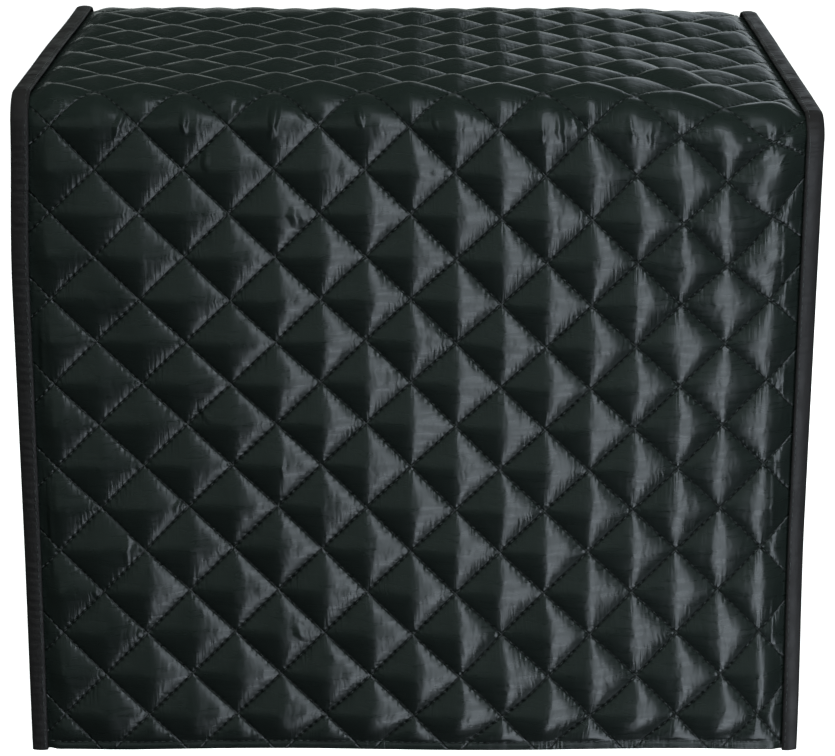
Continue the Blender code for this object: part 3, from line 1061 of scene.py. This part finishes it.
@dataclass(frozen=True)
class QuiltedCloth(ABC):
    """What the strip and the side panels share: a quilted face, an inner face and the sewing."""

    cut: Cut
    drape: Drape
    quilting: Quilting
    satin: bpy.types.Material
    steps: int = 22
    thin: int = 6
    softening: int = 3
    soften_share: float = 0.5
    edge_share: float = 1.2
    seam_reach: float = 0.004

    @abstractmethod
    def lattice(self, way: float, climb: float) -> Pair:
        """Give a place of the cloth in diamonds."""

    @abstractmethod
    def point(self, way: float, climb: float, lift: float = 0.0) -> Vector:
        """Find the outer face at a place of the cloth, or a little over it."""

    def closed_sheet(
        self, across: list[float], along: list[float], outer: Surface, inner: Surface
    ) -> bmesh.types.BMesh:
        """Make a fine outer face, a plainer inner one and the edge between them.

        Args:
            across: Places one way.
            along: Places the other way.
            outer: Gives the outer point of a place.
            inner: Gives the inner point of a place.

        Returns:
            The closed mesh with its map.
        """
        mesh = bmesh.new()
        layer = mesh.loops.layers.uv.new("cloth")
        tops = grid(mesh, len(across) - 1, len(along) - 1, lambda c, r: outer(across[c], along[r]))
        diamond = {vert: self.lattice(across[c], along[r]) for (c, r), vert in tops.items()}
        self.split_on_seams(mesh, tops, diamond, (len(across), len(along)))
        self.soften(mesh, tops, diamond, (across, along))
        few_across = sorted({*range(0, len(across), self.thin), len(across) - 1})
        few_along = sorted({*range(0, len(along), self.thin), len(along) - 1})
        thinned = [across[index] for index in few_across], [along[index] for index in few_along]
        backs = grid(
            mesh, len(few_across) - 1, len(few_along) - 1, lambda c, r: inner(thinned[0][c], thinned[1][r])
        )
        for (c, r), vert in backs.items():
            diamond[vert] = self.lattice(thinned[0][c], thinned[1][r])
        self.close_edge(mesh, tops, backs, (len(across), len(along)), (few_across, few_along))
        bmesh.ops.recalc_face_normals(mesh, faces=mesh.faces[:])
        for face in mesh.faces:
            for loop in face.loops:
                u, v = diamond[loop.vert]
                loop[layer].uv = (u / MAP_SPAN + MAP_MIDDLE, v / MAP_SPAN + MAP_MIDDLE)
        return mesh

    def split_on_seams(
        self, mesh: bmesh.types.BMesh, tops: Corners, diamond: Diamonds, count: tuple[int, int]
    ) -> None:
        """Split each quad the way the sewing runs and crease it on the sewn lines.

        Args:
            mesh: The cloth's mesh.
            tops: Its outer corners.
            diamond: The lattice place of each corner.
            count: Number of columns and rows of corners.
        """
        for column in range(count[0] - 1):
            for row in range(count[1] - 1):
                low_left = tops[column, row]
                low_right = tops[column + 1, row]
                up_left = tops[column, row + 1]
                up_right = tops[column + 1, row + 1]
                u = (diamond[low_left][0] + diamond[up_right][0]) / 2
                v = (diamond[low_left][1] + diamond[up_right][1]) / 2
                runs_up = (u % 1 < SEAM) != (v % 1 < SEAM)
                ends = (low_left, up_right) if runs_up else (low_right, up_left)
                face = mesh.faces.get((low_left, low_right, up_right, up_left))
                bmesh.utils.face_split(face, ends[0], ends[1])
                if all(self.on_seam(diamond[end]) for end in ends):
                    mesh.edges.get(ends).smooth = False

    def soften(
        self,
        mesh: bmesh.types.BMesh,
        tops: Corners,
        diamond: Diamonds,
        places: tuple[list[float], list[float]],
    ) -> None:
        """Round each diamond's ridges over the wadding and leave its sewn lines where they are.

        Args:
            mesh: The cloth's mesh.
            tops: Its outer corners.
            diamond: The lattice place of each corner.
            places: Places of the columns and of the rows of corners.
        """
        margins = [self.margin(way) for way in places]
        columns = (margins[0], len(places[0]) - 1 - margins[0])
        rows = (margins[1], len(places[1]) - 1 - margins[1])
        free = [
            vert
            for (column, row), vert in tops.items()
            if columns[0] < column < columns[1]
            and rows[0] < row < rows[1]
            and not self.on_seam(diamond[vert])
        ]
        for _ in range(self.softening):
            bmesh.ops.smooth_vert(
                mesh, verts=free, factor=self.soften_share, use_axis_x=True, use_axis_y=True, use_axis_z=True
            )

    def margin(self, places: list[float]) -> int:
        """Count the places of the hem or the turned edge, which stay as they are."""
        reach = self.cut.hem_depth * self.edge_share
        return sum(1 for place in places if place < places[0] + reach)

    def on_seam(self, place: Pair) -> bool:
        """Tell whether a lattice place lies on a sewn line."""
        sums = (place[0] + place[1], place[0] - place[1])
        return any(abs(value % 1 - SEAM) < self.seam_reach for value in sums)

    def close_edge(
        self,
        mesh: bmesh.types.BMesh,
        tops: Corners,
        backs: Corners,
        count: tuple[int, int],
        few: tuple[list[int], list[int]],
    ) -> None:
        """Close the narrow edge between the two faces of the sheet.

        Args:
            mesh: The cloth's mesh.
            tops: Its outer corners.
            backs: Its inner corners.
            count: Number of columns and rows of outer corners.
            few: The outer columns and rows that the inner face has too.
        """
        fine = border(list(range(count[0])), list(range(count[1])))
        coarse = border(few[0], few[1])
        back_at = {place: backs[few[0].index(place[0]), few[1].index(place[1])] for place in coarse}
        marks = [fine.index(place) for place in coarse]
        for index, start in enumerate(marks):
            following = (index + 1) % len(marks)
            stop = marks[following] if following else len(fine)
            near = back_at[coarse[index]]
            for step in range(start, stop):
                mesh.faces.new((tops[fine[step]], near, tops[fine[(step + 1) % len(fine)]]))
            mesh.faces.new((tops[fine[stop % len(fine)]], near, back_at[coarse[following]]))


@dataclass(frozen=True)
class WrapPanel(QuiltedCloth):
    """Front, top and back in one length of quilted satin."""

    hem_fade: float = 0.004
    hem_groove: float = 0.0004
    hem_groove_reach: float = 0.0016
    crease_pad: float = 0.06
    crease_limit: float = 1.1

    def taut(self, x: float, t: float) -> tuple[Vector, Vector]:
        """Find a place of the strip before it settles.

        Args:
            x: Place across the strip.
            t: Way up from the front hem along the strip.

        Returns:
            The point on the taut arch and the outward direction there.
        """
        lies_x, lies_t = self.drape.strayed(x, t)
        point, out = self.drape.path_point(lies_t)
        point.x = lies_x
        return point, out

    def clear(self, x: float) -> float:
        """Give the share of the quilting's rise beside the tapes."""
        return smooth((self.cut.inner_edge - abs(x)) / self.cut.puff_fade)

    def point(self, x: float, t: float, lift: float = 0.0) -> Vector:
        """Find the outer face at a place of the strip.

        Args:
            x: Place across the strip.
            t: Way up from the front hem along the strip.
            lift: Height over the face.

        Returns:
            The settled point.
        """
        cut = self.cut
        point, out = self.taut(x, t)
        height = min(t, cut.strip_length - t)
        from_tape = cut.inner_edge - abs(x)
        fade = self.clear(x) * cut.over_hem(height)
        raised = self.quilting.raised(x - cut.lattice_shift, t - cut.top_start) * fade * self.drape.eased(t)
        raised -= self.drape.seam_draw * bump(from_tape / self.drape.seam_draw_reach)
        raised += self.hem_relief(height) * smooth(from_tape / self.hem_fade)
        raised += self.drape.fold_rise(x, t) * self.clear(x) + self.drape.ring_rise(x, t)
        return self.drape.settle(point + out * (raised + lift))

    def hem_relief(self, height: float) -> float:
        """Give the swell of the turned hem and the groove of its sewing.

        Args:
            height: Height over the rim.

        Returns:
            How far the cloth stands out, in metres.
        """
        over = height - self.cut.hem_depth
        if over >= 0:
            return -self.hem_groove * bump(over / self.hem_groove_reach)
        return self.cut.hem_swell(height)

    def back_point(self, x: float, t: float) -> Vector:
        """Find the inner face at a place of the strip.

        Args:
            x: Place across the strip.
            t: Way up from the front hem along the strip.

        Returns:
            The settled point.
        """
        point, out = self.taut(x, t)
        return self.drape.settle(point + out * (self.drape.fold_rise(x, t) * self.clear(x) - self.cut.cloth))

    def lattice(self, x: float, t: float) -> Pair:
        """Give a place of the strip in diamonds."""
        cut = self.cut
        return (x - cut.lattice_shift) / cut.pitch_across, (t - cut.top_start) / cut.pitch_along

    def lay_creases(self, mesh: bmesh.types.BMesh) -> None:
        """Let each face carry its place from its nearest short crease, for the finish to raise.

        Args:
            mesh: The strip's mesh with its map.
        """
        layer = mesh.loops.layers.uv.active
        carried = mesh.loops.layers.float_vector.new(CREASE_LAYER)
        origin = Vector((MAP_MIDDLE, MAP_MIDDLE))
        near = {}
        for crease in CREASES:
            for column in (-1, 0, 1):
                for row in (-1, 0, 1):
                    cell = (math.floor(crease.u) + column, math.floor(crease.v) + row)
                    near.setdefault(cell, []).append(crease)
        for face in mesh.faces:
            places = [(loop[layer].uv - origin) * MAP_SPAN for loop in face.loops]
            middle = sum(places, Vector((0.0, 0.0))) / len(places)
            crease = self.nearest(near.get((math.floor(middle.x), math.floor(middle.y)), []), middle)
            for loop, place in zip(face.loops, places):
                loop[carried] = (*crease.local(place.x, place.y), crease.rise) if crease else NO_CREASE

    def nearest(self, creases: list[Crease], middle: Vector) -> Crease | None:
        """Pick the crease that reaches a place.

        Args:
            creases: The creases to pick from.
            middle: The place on the lattice.

        Returns:
            The nearest one, or none.
        """
        pad = self.crease_pad
        reaching = [(math.hypot(*crease.local(middle.x, middle.y, pad)), crease) for crease in creases]
        reaching = [entry for entry in reaching if entry[0] < self.crease_limit]
        return min(reaching, key=lambda entry: entry[0])[1] if reaching else None

    def build(self) -> bpy.types.Object:
        """Make the strip.

        Returns:
            The piece that stands for the wrap panel.
        """
        cut = self.cut
        edges = [-cut.edge_x, -cut.inner_edge, cut.inner_edge, cut.edge_x]
        ends = (-cut.inner_edge, cut.inner_edge)
        across = ladder(ends, cut.pitch_across, cut.lattice_shift, self.steps, edges)
        hems = cut.hem_places + [cut.strip_length - place for place in cut.hem_places]
        ends = (cut.hem_depth, cut.strip_length - cut.hem_depth)
        along = ladder(ends, cut.pitch_along, cut.top_start, self.steps, hems)
        mesh = self.closed_sheet(across, along, self.point, self.back_point)
        self.lay_creases(mesh)
        piece = finish_piece("wrap_cloth", mesh, self.satin)
        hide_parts("wrap_panel")
        return piece


@dataclass(frozen=True)
class SidePanel(QuiltedCloth):
    """A quilted panel that closes one side, its edge turned out into the bound seam."""

    side: Side = Side.LEFT
    hem_draw: float = 0.0014
    hem_draw_height: float = 0.08
    turned_edge: float = 0.002
    allowance: Pair = (0.020, 0.010)

    def bow(self, y: float, z: float) -> float:
        """Give how far the panel bellies out.

        Args:
            y: Place from front to back.
            z: Height over the rim.

        Returns:
            The belly, less what the hem draws in, in metres.
        """
        across = bump(y / (self.cut.depth / 2))
        belly = self.drape.side_bow * across * math.sin(math.pi * z / self.cut.height)
        return belly - self.hem_draw * across * bump(z / self.hem_draw_height)

    def point(self, y: float, z: float, lift: float = 0.0) -> Vector:
        """Find the outer face at a place of the panel.

        Args:
            y: Place from front to back.
            z: Height over the rim.
            lift: Height over the face.

        Returns:
            The settled point.
        """
        cut = self.cut
        from_arch = min(cut.depth / 2 - abs(y), cut.height - z) - cut.tape_width
        fade = smooth(from_arch / cut.puff_fade) * cut.over_hem(z)
        raised = self.quilting.raised(y, z - cut.wall_top) * fade + self.bow(y, z) + lift
        if z < cut.hem_depth:
            raised += cut.hem_swell(z)
        x = cut.width / 2 - cut.side_setback + raised
        return self.drape.settle(Vector((self.side.value * x, y, z)))

    def outline(self, y: float, z: float, inset: float) -> Pair:
        """Draw a place on the arch in by an inset.

        Args:
            y: Place from front to back.
            z: Height over the rim.
            inset: How far the arch is drawn in.

        Returns:
            The place drawn in.
        """
        cut = self.cut
        start = cut.depth / 2 - cut.bend_radius
        over_y = max(0.0, abs(y) - start)
        over_z = max(0.0, z - cut.wall_top)
        scale = (cut.bend_radius - inset) / cut.bend_radius
        if over_y > 0 and over_z > 0:
            scale *= max(over_y, over_z) / math.hypot(over_y, over_z)
        if over_y > 0:
            y = math.copysign(start + over_y * scale, y)
        if over_z > 0:
            z = cut.wall_top + over_z * scale
        return y, z

    def turned(self, y: float, z: float) -> bool:
        """Tell whether a place is the panel's turned edge."""
        return abs(y) > self.cut.depth / 2 + MERGE or z > self.cut.height + MERGE

    def pinned(self, y: float, z: float) -> Pair:
        """Bring a place of the turned edge back over the panel's rim."""
        half = self.cut.depth / 2
        return max(-half, min(half, y)), min(self.cut.height, z)

    def outer_place(self, y: float, z: float) -> Vector:
        """Find an outer corner, on the panel or on its turned edge.

        Args:
            y: Place from front to back.
            z: Height over the rim.

        Returns:
            The settled point.
        """
        place = self.outline(*self.pinned(y, z), self.cut.seam_stack)
        if self.turned(y, z):
            return self.drape.settle(Vector((self.side.value * self.cut.edge_x, *place)))
        return self.point(*place)

    def inner_place(self, y: float, z: float) -> Vector:
        """Find an inner corner, on the panel or on its turned edge.

        Args:
            y: Place from front to back.
            z: Height over the rim.

        Returns:
            The settled point.
        """
        place = self.outline(*self.pinned(y, z), self.cut.cloth + self.cut.gap)
        x = self.cut.edge_x
        if not self.turned(y, z):
            x = self.cut.width / 2 - self.cut.side_setback + self.bow(*place) - self.cut.cloth
        return self.drape.settle(Vector((self.side.value * x, *place)))

    def lattice(self, y: float, z: float) -> Pair:
        """Give a place of the panel in diamonds."""
        return y / self.cut.pitch_across, (z - self.cut.wall_top) / self.cut.pitch_along

    def build(self) -> bpy.types.Object:
        """Make the panel.

        Returns:
            The piece that stands for the side panel.
        """
        cut = self.cut
        half = cut.depth / 2
        ends_y = [-half - self.turned_edge, -half, half, half + self.turned_edge]
        ends_z = cut.hem_places + [cut.height, cut.height + self.turned_edge]
        across = ladder((-half, half), cut.pitch_across, 0.0, self.steps, ends_y)
        along = ladder((cut.hem_depth, cut.height), cut.pitch_along, cut.wall_top, self.steps, ends_z)
        mesh = self.closed_sheet(across, along, self.outer_place, self.inner_place)
        name = self.side.name.lower()
        piece = finish_piece("side_cloth_" + name, mesh, self.satin)
        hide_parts("side_panel_" + name)
        return piece


@dataclass(frozen=True)
class BindingTape:
    """Folded tape over one seam, gathered a little as it was sewn on."""

    cut: Cut
    drape: Drape
    weave: bpy.types.Material
    side: Side
    step: float = 0.0012
    crown: float = 0.0005
    nose: float = 0.0009
    gather: float = 0.00032
    gather_length: float = 0.0042
    gather_fade: float = 0.003
    gather_shares: Pair = (0.55, 0.9)
    wander: float = 2.2
    wander_rate: Triple = (150.0, 60.0, 3.0)
    allowance: float = 0.006

    def section(self) -> list[Pair]:
        """Give the tape's outline in section.

        Returns:
            Its corners: inwards from the edge, and out from the strip.
        """
        cut = self.cut
        front = cut.gap
        back = -(cut.seam_stack + cut.gap)
        width = cut.tape_width
        outer = front + cut.tape
        return [
            (width, front),
            (width, front + 0.8 * cut.tape),
            (0.86 * width, outer + 0.3 * self.crown),
            (0.68 * width, outer + 0.9 * self.crown),
            (0.50 * width, outer + self.crown),
            (0.32 * width, outer + 0.7 * self.crown),
            (self.nose * 1.4, outer + 0.1 * self.crown),
            (self.nose * 0.5, outer - 0.3 * self.nose),
            (0.0, outer - self.nose),
            (0.0, back - cut.tape + self.nose),
            (self.nose * 0.5, back - cut.tape + 0.3 * self.nose),
            (self.nose * 1.4, back - cut.tape),
            (0.5 * width, back - cut.tape),
            (width, back - cut.tape),
            (width, back),
            (cut.tape, back),
            (cut.tape, front),
        ]

    def place(self, t: float, inwards: float, outwards: float) -> Vector:
        """Find a place of the tape, with its gathers.

        Args:
            t: Way up from the front hem along the strip.
            inwards: Distance from the tape's edge.
            outwards: Distance out from the strip.

        Returns:
            The settled point.
        """
        point, out = self.drape.path_point(t)
        rate = self.wander_rate
        wander = noise.noise(Vector((t * rate[0], inwards * rate[1], self.side.value * rate[2])))
        wave = math.sin(2 * math.pi * t / self.gather_length + self.wander * wander)
        wave *= self.gather_shares[0] + self.gather_shares[1] * wander
        skin = 1.0 if outwards > self.cut.gap + 0.5 * self.cut.tape else 0.0
        outwards += skin * self.gather * wave * smooth(inwards / self.gather_fade)
        point.x = self.side.value * (self.cut.width / 2 - inwards)
        return self.drape.settle(point + out * outwards)

    def build(self) -> bpy.types.Object:
        """Make the tape.

        Returns:
            The piece that stands for the binding.
        """
        cut = self.cut
        section = self.section()
        count = round(cut.strip_length / self.step)
        mesh = bmesh.new()
        layer = mesh.loops.layers.uv.new("tape")

        def corner(column: int, row: int) -> Vector:
            """Find one corner of the tape's grid."""
            return self.place(cut.strip_length * row / count, *section[column % len(section)])

        corners = grid(mesh, len(section), count, corner)
        spot = {vert: place for place, vert in corners.items()}
        for face in mesh.faces:
            for loop in face.loops:
                column, row = spot[loop.vert]
                loop[layer].uv = (column / len(section), row / count)
        bmesh.ops.remove_doubles(mesh, verts=mesh.verts[:], dist=MERGE)
        rim = [edge for edge in mesh.edges if edge.is_boundary]
        bmesh.ops.holes_fill(mesh, edges=rim, sides=0)
        bmesh.ops.recalc_face_normals(mesh, faces=mesh.faces[:])
        name = self.side.name.lower()
        piece = finish_piece("binding_tape_" + name, mesh, self.weave)
        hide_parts("binding_" + name)
        return piece


@dataclass(frozen=True)
class Sewing:
    """Rows of stitches, each one a small bead of thread laid in its groove."""

    cut: Cut
    thread: bpy.types.Material
    length: float = 0.0029
    thickness: float = 0.00045
    sit: float = 0.6
    probe: float = 0.001
    tape_clear: float = 0.0005
    hem_clear: float = 0.002
    hem_offset: float = 0.0002
    rim_clear: float = 0.001
    binding_start: float = 0.001
    binding_inset: float = 0.0016
    binding_lift: float = 0.00015

    def beads(self, name: str, places: list[tuple[Vector, Vector, Vector]]) -> bpy.types.Object:
        """Join one bead of thread per stitch.

        Args:
            name: Name of the piece.
            places: Start, end and outward direction of each stitch.

        Returns:
            The piece of joined stitches.
        """
        mesh = bmesh.new()
        bmesh.ops.create_icosphere(mesh, subdivisions=1, radius=1.0)
        size = len(mesh.verts)
        while len(mesh.verts) < size * len(places):
            left = len(places) - len(mesh.verts) // size
            verts = mesh.verts[:]
            faces = mesh.faces[:]
            per_bead = len(faces) * size // len(verts)
            if left * size < len(verts):
                faces = faces[: left * per_bead]
                verts = verts[: left * size]
            edges = list({edge for face in faces for edge in face.edges})
            bmesh.ops.duplicate(mesh, geom=verts + edges + faces)
            mesh.verts.ensure_lookup_table()
            mesh.faces.ensure_lookup_table()
        frames = [self.bead_frame(*place) for place in places]
        for index, vert in enumerate(mesh.verts):
            vert.co = frames[index // size] @ vert.co
        return finish_piece(name, mesh, self.thread)

    def bead_frame(self, start: Vector, end: Vector, out: Vector) -> Matrix:
        """Give the transform that lays a unit bead over one stitch.

        Args:
            start: Where the stitch starts.
            end: Where it ends.
            out: The outward direction.

        Returns:
            The transform.
        """
        run = (end - start).normalized()
        aside = out.cross(run).normalized()
        rise = run.cross(aside)
        half = self.thickness / 2
        axes = Matrix((run * self.length / 2, aside * half, rise * half)).transposed()
        return Matrix.Translation((start + end) / 2 + out * half * self.sit) @ axes.to_4x4()

    def quilting_of(
        self, cloth: QuiltedCloth, name: str, span: tuple[Pair, Pair], inside: Callable[[float, float], bool]
    ) -> None:
        """Sew the diamonds of one cloth.

        Args:
            cloth: The quilted cloth.
            name: Name of the piece.
            span: The cloth's two far corners in its own two ways.
            inside: Tells whether a place is clear of tape and hem.
        """
        places = []
        for line in cloth.quilting.sewn_lines(*[cloth.lattice(*corner) for corner in span]):
            ends = [self.cloth_place(cloth, place) for place in line]
            for near, far in zip(ends, ends[1:]):
                middle = ((near[0] + far[0]) / 2, (near[1] + far[1]) / 2)
                if inside(*middle):
                    out = (cloth.point(*middle, self.probe) - cloth.point(*middle)).normalized()
                    places.append((cloth.point(*near), cloth.point(*far), out))
        self.beads(name, places)

    def cloth_place(self, cloth: QuiltedCloth, place: Pair) -> Pair:
        """Turn a lattice place into the cloth's own two ways."""
        origin = cloth.lattice(0.0, 0.0)
        return (place[0] - origin[0]) * self.cut.pitch_across, (place[1] - origin[1]) * self.cut.pitch_along

    def row(self, name: str, slot: str, length: float, at: Surface) -> None:
        """Sew one straight row.

        Args:
            name: Name of the piece.
            slot: Not used.
            length: Length of the row.
            at: Gives the point at a way along the row and a lift over it.
        """
        places = []
        for index in range(int(length / self.cut.stitch)):
            middle = (index + 0.5) * self.cut.stitch
            start = at(index * self.cut.stitch, 0.0)
            end = at((index + 1) * self.cut.stitch, 0.0)
            out = (at(middle, self.probe) - at(middle, 0.0)).normalized()
            places.append((start, end, out))
        self.beads(name, places)

    def sew_strip(self, wrap: WrapPanel) -> None:
        """Sew the strip's diamonds and both its hems.

        Args:
            wrap: The strip.
        """
        cut = self.cut
        low = cut.hem_depth + self.hem_clear
        high = cut.strip_length - cut.hem_depth - self.hem_clear
        self.quilting_of(
            wrap,
            "wrap_quilt_stitches",
            ((-cut.inner_edge, 0.0), (cut.inner_edge, cut.strip_length)),
            lambda x, t: abs(x) < cut.inner_edge - self.tape_clear and low < t < high,
        )
        front = cut.hem_depth + self.hem_offset
        for start, label in ((front, "front"), (cut.strip_length - front, "back")):
            self.row(
                "hem_stitches_" + label,
                "quilted_satin",
                2 * cut.inner_edge,
                lambda way, lift, t=start: wrap.point(way - cut.inner_edge, t, lift),
            )

    def sew_panel(self, panel: SidePanel) -> None:
        """Sew a side panel's diamonds and its hem.

        Args:
            panel: The side panel.
        """
        cut = self.cut
        name = panel.side.name.lower()
        inset = cut.seam_stack + self.rim_clear
        rim = cut.depth / 2 - inset

        def inside(y: float, z: float) -> bool:
            """Tell whether a place is clear of the hem and the rounded rim.

            Args:
                y: Place from front to back.
                z: Height over the rim.

            Returns:
                Whether a stitch may lie there.
            """
            over_y = max(0.0, abs(y) - cut.depth / 2 + cut.bend_radius)
            over_z = max(0.0, z - cut.wall_top)
            level = cut.hem_depth + self.hem_clear < z < cut.height - inset
            return abs(y) < rim and level and math.hypot(over_y, over_z) < cut.bend_radius - inset

        span = ((-cut.depth / 2, 0.0), (cut.depth / 2, cut.height))
        self.quilting_of(panel, "side_quilt_stitches_" + name, span, inside)
        self.row(
            "hem_stitches_" + name,
            "quilted_satin",
            2 * rim,
            lambda way, lift: panel.point(way - rim, cut.hem_depth + self.hem_offset, lift),
        )

    def sew_binding(self, tape: BindingTape) -> None:
        """Sew a tape down along its inner edge.

        Args:
            tape: The tape.
        """
        inwards = self.cut.tape_width - self.binding_inset
        outwards = self.cut.gap + self.cut.tape + self.binding_lift
        self.row(
            "binding_stitches_" + tape.side.name.lower(),
            "bias_tape",
            self.cut.strip_length - 2 * self.binding_start,
            lambda way, lift: tape.place(way + self.binding_start, inwards, outwards + lift),
        )


@dataclass(frozen=True)
class SoftLight:
    """A rectangular soft light: where it hangs, what it looks at, its size, power and colour."""

    name: str
    place: Triple
    target: Triple
    size: Pair
    power: float
    colour: Triple
    glints: bool = True


@dataclass(frozen=True)
class Studio:
    """Camera, floor and soft lights."""

    focal: float = 2844.1
    frame_width: float = 835.0
    sensor: float = 36.0
    eye: Triple = (0.0007, -1.4955, 0.5994)
    pitch: float = 16.681
    yaw: float = 0.003
    roll: float = -0.024
    floor_size: float = 14.0
    floor_colour: Colour = (0.86, 0.86, 0.86, 1.0)
    floor_roughness: float = 0.9
    floor_specular: float = 0.1
    floor_glow: float = 0.85
    backdrop_colour: Colour = (0.85, 1.0, 0.95, 1.0)
    backdrop_glow: float = 0.035
    lights: tuple[SoftLight, ...] = (
        SoftLight("key", (0.4145, -0.75, 0.610), (0.4145, 0.0, 0.610), (0.27, 1.584), 5.9, COOL),
        SoftLight("low key", (0.4145, -0.75, -0.589), (0.4145, 0.0, -0.589), (0.27, 0.813), 3.4, COOL),
        SoftLight("front", (-1.1, -3.1, 1.70), (0.0, -0.1, 0.2), (4.8, 2.6), 8.2, GREEN_TINT),
        SoftLight("overhead", (-0.1, -1.1, 2.7), (0.0, -0.1, 0.2), (1.8, 1.2), 86.0, GREEN_PALE, False),
        SoftLight("back", (0.38, 0.75, 0.62), (0.15, 0.0, 0.34), (0.46, 0.30), 0.42, COOL),
        SoftLight("rim", (0.4, 2.6, 0.68), (0.0, 0.0, 0.33), (2.4, 0.60), 3.2, GREEN_FAINT),
    )

    def camera(self) -> None:
        """Set the camera at the photograph's angle."""
        yaw = math.radians(self.yaw)
        pitch = math.radians(self.pitch)
        roll = math.radians(self.roll)
        ahead = Vector((-math.sin(yaw) * math.cos(pitch), math.cos(yaw) * math.cos(pitch), -math.sin(pitch)))
        level = Vector((math.cos(yaw), math.sin(yaw), 0.0))
        upright = Vector((-math.sin(yaw) * math.sin(pitch), math.cos(yaw) * math.sin(pitch), math.cos(pitch)))
        right = level * math.cos(roll) - upright * math.sin(roll)
        up = level * math.sin(roll) + upright * math.cos(roll)
        data = bpy.data.cameras.new("camera")
        data.sensor_width = self.sensor
        data.lens = self.sensor * self.focal / self.frame_width
        data.dof.use_dof = False
        camera = bpy.data.objects.new("camera", data)
        camera.matrix_world = Matrix.Translation(self.eye) @ Matrix((right, up, -ahead)).transposed().to_4x4()
        bpy.context.scene.collection.objects.link(camera)
        bpy.context.scene.camera = camera

    def floor(self) -> None:
        """Lay a plain pale floor."""
        mesh = bmesh.new()
        bmesh.ops.create_grid(mesh, x_segments=2, y_segments=2, size=self.floor_size)
        data = bpy.data.meshes.new("floor")
        mesh.to_mesh(data)
        mesh.free()
        desk = NodeDesk("pale_floor")
        desk.surface("Base Color", self.floor_colour)
        desk.surface("Roughness", self.floor_roughness)
        desk.surface("Specular IOR Level", self.floor_specular)
        desk.surface("Emission Color", (1.0, 1.0, 1.0, 1.0))
        desk.surface("Emission Strength", self.floor_glow)
        data.materials.append(desk.material)
        floor = bpy.data.objects.new("floor", data)
        floor.visible_glossy = False
        floor.visible_diffuse = False
        floor.visible_shadow = False
        bpy.context.scene.collection.objects.link(floor)

    def hang(self, light: SoftLight) -> None:
        """Hang one soft light.

        Args:
            light: The light.
        """
        data = bpy.data.lights.new(light.name, "AREA")
        data.shape = "RECTANGLE"
        data.size = light.size[0]
        data.size_y = light.size[1]
        data.energy = light.power
        data.color = light.colour
        lamp = bpy.data.objects.new(light.name, data)
        aim = (Vector(light.target) - Vector(light.place)).to_track_quat("-Z", "Z")
        lamp.matrix_world = Matrix.Translation(light.place) @ aim.to_matrix().to_4x4()
        lamp.visible_camera = False
        lamp.visible_glossy = light.glints
        bpy.context.scene.collection.objects.link(lamp)

    def backdrop(self) -> None:
        """Fill the surroundings with an even grey."""
        world = bpy.data.worlds.new("studio")
        world.use_nodes = True
        shade = world.node_tree.nodes["Background"]
        shade.inputs["Color"].default_value = self.backdrop_colour
        shade.inputs["Strength"].default_value = self.backdrop_glow
        bpy.context.scene.world = world

    def build(self) -> None:
        """Set up the whole studio."""
        self.camera()
        self.floor()
        self.backdrop()
        for light in self.lights:
            self.hang(light)
        bpy.context.scene.view_settings.view_transform = "Standard"


def main() -> None:
    """Build the dressed cover and its studio."""
    logging.basicConfig(level=logging.INFO, format="%(message)s")
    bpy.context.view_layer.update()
    cut = Cut()
    drape = Drape(cut)
    quilting = Quilting(cut)
    satin = SatinFinish(cut).make()
    weave = TapeFinish().make()
    sewing = Sewing(cut, ThreadFinish().make())
    Studio().build()
    wrap = WrapPanel(cut, drape, quilting, satin)
    sides = [SidePanel(cut, drape, quilting, satin, side=side) for side in Side]
    tapes = [BindingTape(cut, drape, weave, side) for side in Side]
    for part in (wrap, *sides, *tapes):
        part.build()
    sewing.sew_strip(wrap)
    for panel in sides:
        sewing.sew_panel(panel)
    for tape in tapes:
        sewing.sew_binding(tape)


if __name__ == "__main__":
    main()
